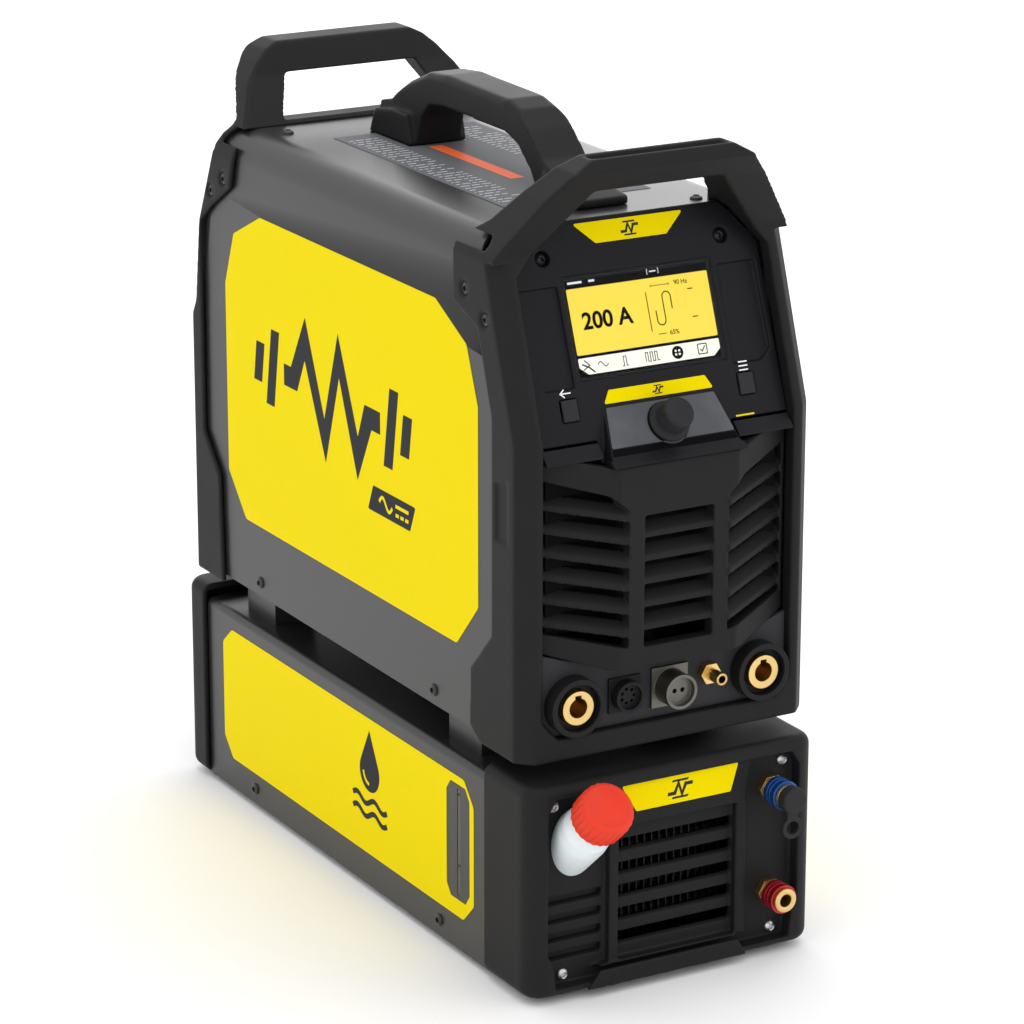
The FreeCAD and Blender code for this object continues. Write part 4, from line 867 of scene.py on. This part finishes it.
def with_rear_corner(loop):
    """The upper rear edge of the big film bends once on its way down."""
    top = max(v for u, v in loop)
    bent = []
    for number, (u, v) in enumerate(loop):
        ahead_u, ahead_v = loop[(number + 1) % len(loop)]
        bent.append((u, v))
        steep = abs(ahead_v - v) > 55.0 and 50.0 < abs(ahead_u - u) < 65.0
        if steep and max(v, ahead_v) > top - 1.0:
            low, high = sorted(((u, v), (ahead_u, ahead_v)), key=lambda end: end[1])
            bent.append((low[0] + BEND_ALONG * (high[0] - low[0]),
                         low[1] + BEND_UP * (high[1] - low[1])))
    return bent


def side_decals():
    """The big yellow films with their generic pulse graphic."""
    for out, side in ((-X, "left"), (X, "right")):
        place, loops = edge_loops("case_decals", out)
        back = place.moved(0.0, 0.0, FILM_SET_BACK)
        outline = with_rear_corner(loops[0])
        printed("case_film_" + side, back, [[rounded(outline, 5.0)]], "yellow_decal",
                low=0.0, high=FILM)
        art = back.moved(0.0, 0.0, FILM)
        side_graphic(art, side, 1.0 if out.x < 0 else -1.0)
        place, loops = edge_loops("cooler_decals", out)
        back = place.moved(0.0, 0.0, FILM_SET_BACK)
        loops = [rounded(loops[0], 5.0)] + [rounded(loop, 2.0) for loop in loops[1:2]]
        printed("cooler_film_" + side, back, [loops], "yellow_decal", low=0.0, high=FILM)
        drop_graphic(back.moved(0.0, 0.0, FILM), side, 1.0 if out.x < 0 else -1.0)
    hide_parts("case_decals")
    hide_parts("cooler_decals")


def side_graphic(art, side, forward):
    """A bold alternating-current pulse, slanted bars before and after it, and a small plate."""
    middle = art.moved(-24.0 * forward, 10.0)
    bars = [box_loop(forward * u, 0.0, 13.0, tall, forward * 0.16 * tall)
            for u, tall in ((-112.0, 30.0), (-90.0, 58.0), (92.0, 58.0), (114.0, 30.0))]
    pulse = stroke([(forward * -72.0, 0.0), (forward * -56.0, 0.0), (forward * -38.0, 34.0),
                    (forward * -8.0, -34.0), (forward * 14.0, 34.0), (forward * 42.0, -34.0),
                    (forward * 58.0, 0.0), (forward * 76.0, 0.0)], 16.0)
    printed("side_pulse_" + side, middle, bars + [pulse], "dark_ink")
    plate = art.moved(forward * 68.0, -47.0)
    outline = rounded(box_loop(0.0, 0.0, 62.0, 19.0, forward * 8.0), 1.5)
    sine = [(-18.0 + 1.2 * k, 4.2 * math.sin(k * math.pi / 8)) for k in range(17)]
    cut = [stroke(sine, 2.4), box_loop(15.5, 3.0, 19.0, 2.6, 0.4)]
    cut += [box_loop(8.5 + 7.0 * k, -3.4, 4.6, 2.6, 0.4) for k in range(3)]
    printed("side_plate_" + side, plate, [outline], "dark_ink")
    printed("side_plate_signs_" + side, plate.moved(0.0, 0.0, 0.1), cut, "yellow_decal")


def drop_graphic(art, side, forward):
    """A water drop over two ripples."""
    place = art.moved(forward * 2.0, 0.0)
    drop = ring_loop(0.0, 4.0, 15.0, 30, -205.0, 230.0) + [(0.0, 36.0)]
    ripples = []
    for level in (-19.0, -29.0):
        line = [(-26.0 + 2.6 * k, level + 2.6 * math.sin(k * math.pi / 5)) for k in range(21)]
        ripples.append(stroke(line, 4.0))
    glint = stroke(ring_loop(0.0, 4.0, 9.5, 12, 185.0, 80.0), 2.6)
    printed("cooler_drop_" + side, place, [[drop, glint]] + ripples, "dark_ink")


def level_marks():
    """Rules beside the level window."""
    low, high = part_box("level_window")
    place = facing(-X, (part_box("cooler_decals")[0].x, (low.y + high.y) / 2, (low.z + high.z) / 2))
    marks = [box_loop(0.0, v, 3.4, 1.0) for v in (36.0, -17.0)]
    printed("level_marks", place, marks, "dark_ink")


def top_label():
    """Dark label with fine rows of rules and an orange stripe."""
    place, half_wide, half_tall = face_of("top_label", Z)
    work = cleaned("top_label")
    piece("top_label_film", work, "dark_label", "case", ["top_label"])
    dice = random.Random(7)
    rows = []
    for column in (-1.0, 1.0):
        for row in range(34):
            level = -half_tall + 14.0 + row * 6.6
            start = 30.0
            while start < half_wide - 5.0:
                length = dice.uniform(3.0, 9.0)
                end = min(start + length, half_wide - 4.0)
                if end - start > 1.0 and dice.random() > 0.12:
                    rows.append(box_loop(column * (start + end) / 2, level, end - start, 1.1))
                start = end + 1.6
    printed("top_label_rules", place, rows, "pale_ink", high=0.06)
    stripe = [box_loop(-6.5, 6.0, 11.0, 118.0)]
    printed("top_label_stripe", place, stripe, "orange_ink", high=0.08)


def front_films():
    """Yellow films over the display and over the console, and the cooler's."""
    place, loops = edge_loops("front_labels", PANEL.out)
    back = place.moved(0.0, 0.0, FILM_SET_BACK)
    films = printed("front_films", back, [[rounded(loop, 1.2)] for loop in loops[:2]], "yellow_decal",
                    low=0.0, high=FILM)
    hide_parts("front_labels")
    for number, loop in enumerate(loops[:2]):
        u, v, tall = middle_of(loop)
        emblem(back.moved(u, v, FILM), tall * EMBLEM_PART, "dark_ink", "front_emblem_%d" % number)
    place, loops = edge_loops("cooler_decals", -Y)
    back = place.moved(0.0, 0.0, FILM_SET_BACK)
    film_piece = printed("cooler_front_film", back, [[rounded(loops[0], 1.5)]], "yellow_decal",
                         low=0.0, high=FILM)
    u, v, tall = middle_of(loops[0])
    emblem(back.moved(u, v, FILM), tall * EMBLEM_PART, "dark_ink", "cooler_front_emblem")


# ------------------------------------------------------------------ cooler fittings

def filler_cap():
    """Ribbed screw cap with a shallow dish."""
    out = Vector(JOINTS["cap_turn"]["axis"])
    place = facing(out, Vector(JOINTS["cap_turn"]["pos_m"]))
    low, high = span_of("filler_cap", out)
    base = place.origin.dot(out)
    start, top = (low - base) / MM, (high - base) / MM
    rim = 19.5
    profile = [(15.0, top - 6.0), (15.0, start + 0.6), (rim - 1.2, start),
               (rim - 0.3, start + 0.8), (rim, start + 2.0),
               (rim, top - 4.6), (rim - 0.35, top - 3.2), (rim - 1.2, top - 1.6), (rim - 2.4, top - 0.6),
               (rim - 4.0, top), (rim - 5.0, top - 0.1), (rim - 6.2, top - 1.1), (0.0, top - 1.3)]

    def ribs(turn, radius, height):
        if radius < rim - 0.5 or height > top - 3.0:
            return radius
        wave = 0.5 + 0.5 * math.cos(24 * turn)
        return radius - 0.9 * (1.0 - wave ** 0.5)

    work = bmesh.new()
    add_turned(work, place, profile, 288, ribs)
    piece("filler_cap_shell", work, "red_plastic", "filler_cap", ["filler_cap"], 40.0)


# ------------------------------------------------------------------ camera, light and floor

CAMERA_SPOT = (-1.40472, -2.48614, 1.16665)
CAMERA_BACK = Vector((-0.4733, -0.8281, 0.3005))
CAMERA_ROLL = 0.0012
CAMERA_LENS = 146.04
SENSOR = 36.0


def camera():
    data = bpy.data.cameras.new("camera")
    data.lens = CAMERA_LENS
    data.sensor_width = SENSOR
    data.clip_end = 50.0
    holder = bpy.data.objects.new("camera", data)
    bpy.context.scene.collection.objects.link(holder)
    holder.location = CAMERA_SPOT
    turn = (-CAMERA_BACK).to_track_quat("-Z", "Y").to_matrix() @ Matrix.Rotation(CAMERA_ROLL, 3, "Z")
    holder.rotation_euler = turn.to_euler()
    bpy.context.scene.camera = holder


def softbox(name, spot, aim, size, power):
    data = bpy.data.lights.new(name, "AREA")
    data.shape = "RECTANGLE"
    data.size, data.size_y = size
    data.energy = power
    holder = bpy.data.objects.new(name, data)
    bpy.context.scene.collection.objects.link(holder)
    holder.location = spot
    holder.rotation_euler = (Vector(aim) - Vector(spot)).to_track_quat("-Z", "Y").to_euler()


def studio():
    """Pale floor, a large overhead softbox, a key from the left and a fill from the right."""
    work = bmesh.new()
    bmesh.ops.create_grid(work, x_segments=2, y_segments=2, size=12.0)
    mesh = bpy.data.meshes.new("floor")
    work.to_mesh(mesh)
    work.free()
    floor = bpy.data.objects.new("floor", mesh)
    bpy.context.scene.collection.objects.link(floor)
    paint = Paint("floor_paper", Roughness=0.9, Specular_IOR_Level=0.1)
    cloud = paint.noise(3.0, 2.0)
    mesh.materials.append(paint.done(colour=paint.mix(cloud, (0.93, 0.93, 0.935, 1), (0.96, 0.96, 0.965, 1))))
    softbox("overhead", (0.1, 0.1, 2.2), (0.0, 0.0, 0.3), (1.8, 1.8), 11.0)
    softbox("key", (-2.4, -1.3, 1.5), (0.0, 0.0, 0.3), (1.2, 1.8), 2.4)
    softbox("back_sheen", (1.7, 3.1, 1.35), (0.0, 0.0, 0.55), (3.0, 1.8), 20.0)
    softbox("fill", (2.0, -2.2, 1.2), (0.0, -0.1, 0.3), (1.4, 1.8), 6.0)
    world = bpy.data.worlds.new("studio")
    world.use_nodes = True
    world.node_tree.nodes["Background"].inputs["Color"].default_value = (1.0, 1.0, 1.0, 1.0)
    world.node_tree.nodes["Background"].inputs["Strength"].default_value = 1.10
    bpy.context.scene.world = world
    bpy.context.scene.view_settings.view_transform = "Standard"


camera()
studio()
body_shells()
fitting_shells()
screw_sets()
screen()
panel_print()
console()
knob()
brow_shelf()
grille_shade_sheet()
side_decals()
level_marks()
top_label()
front_films()
filler_cap()
inner_finishes()
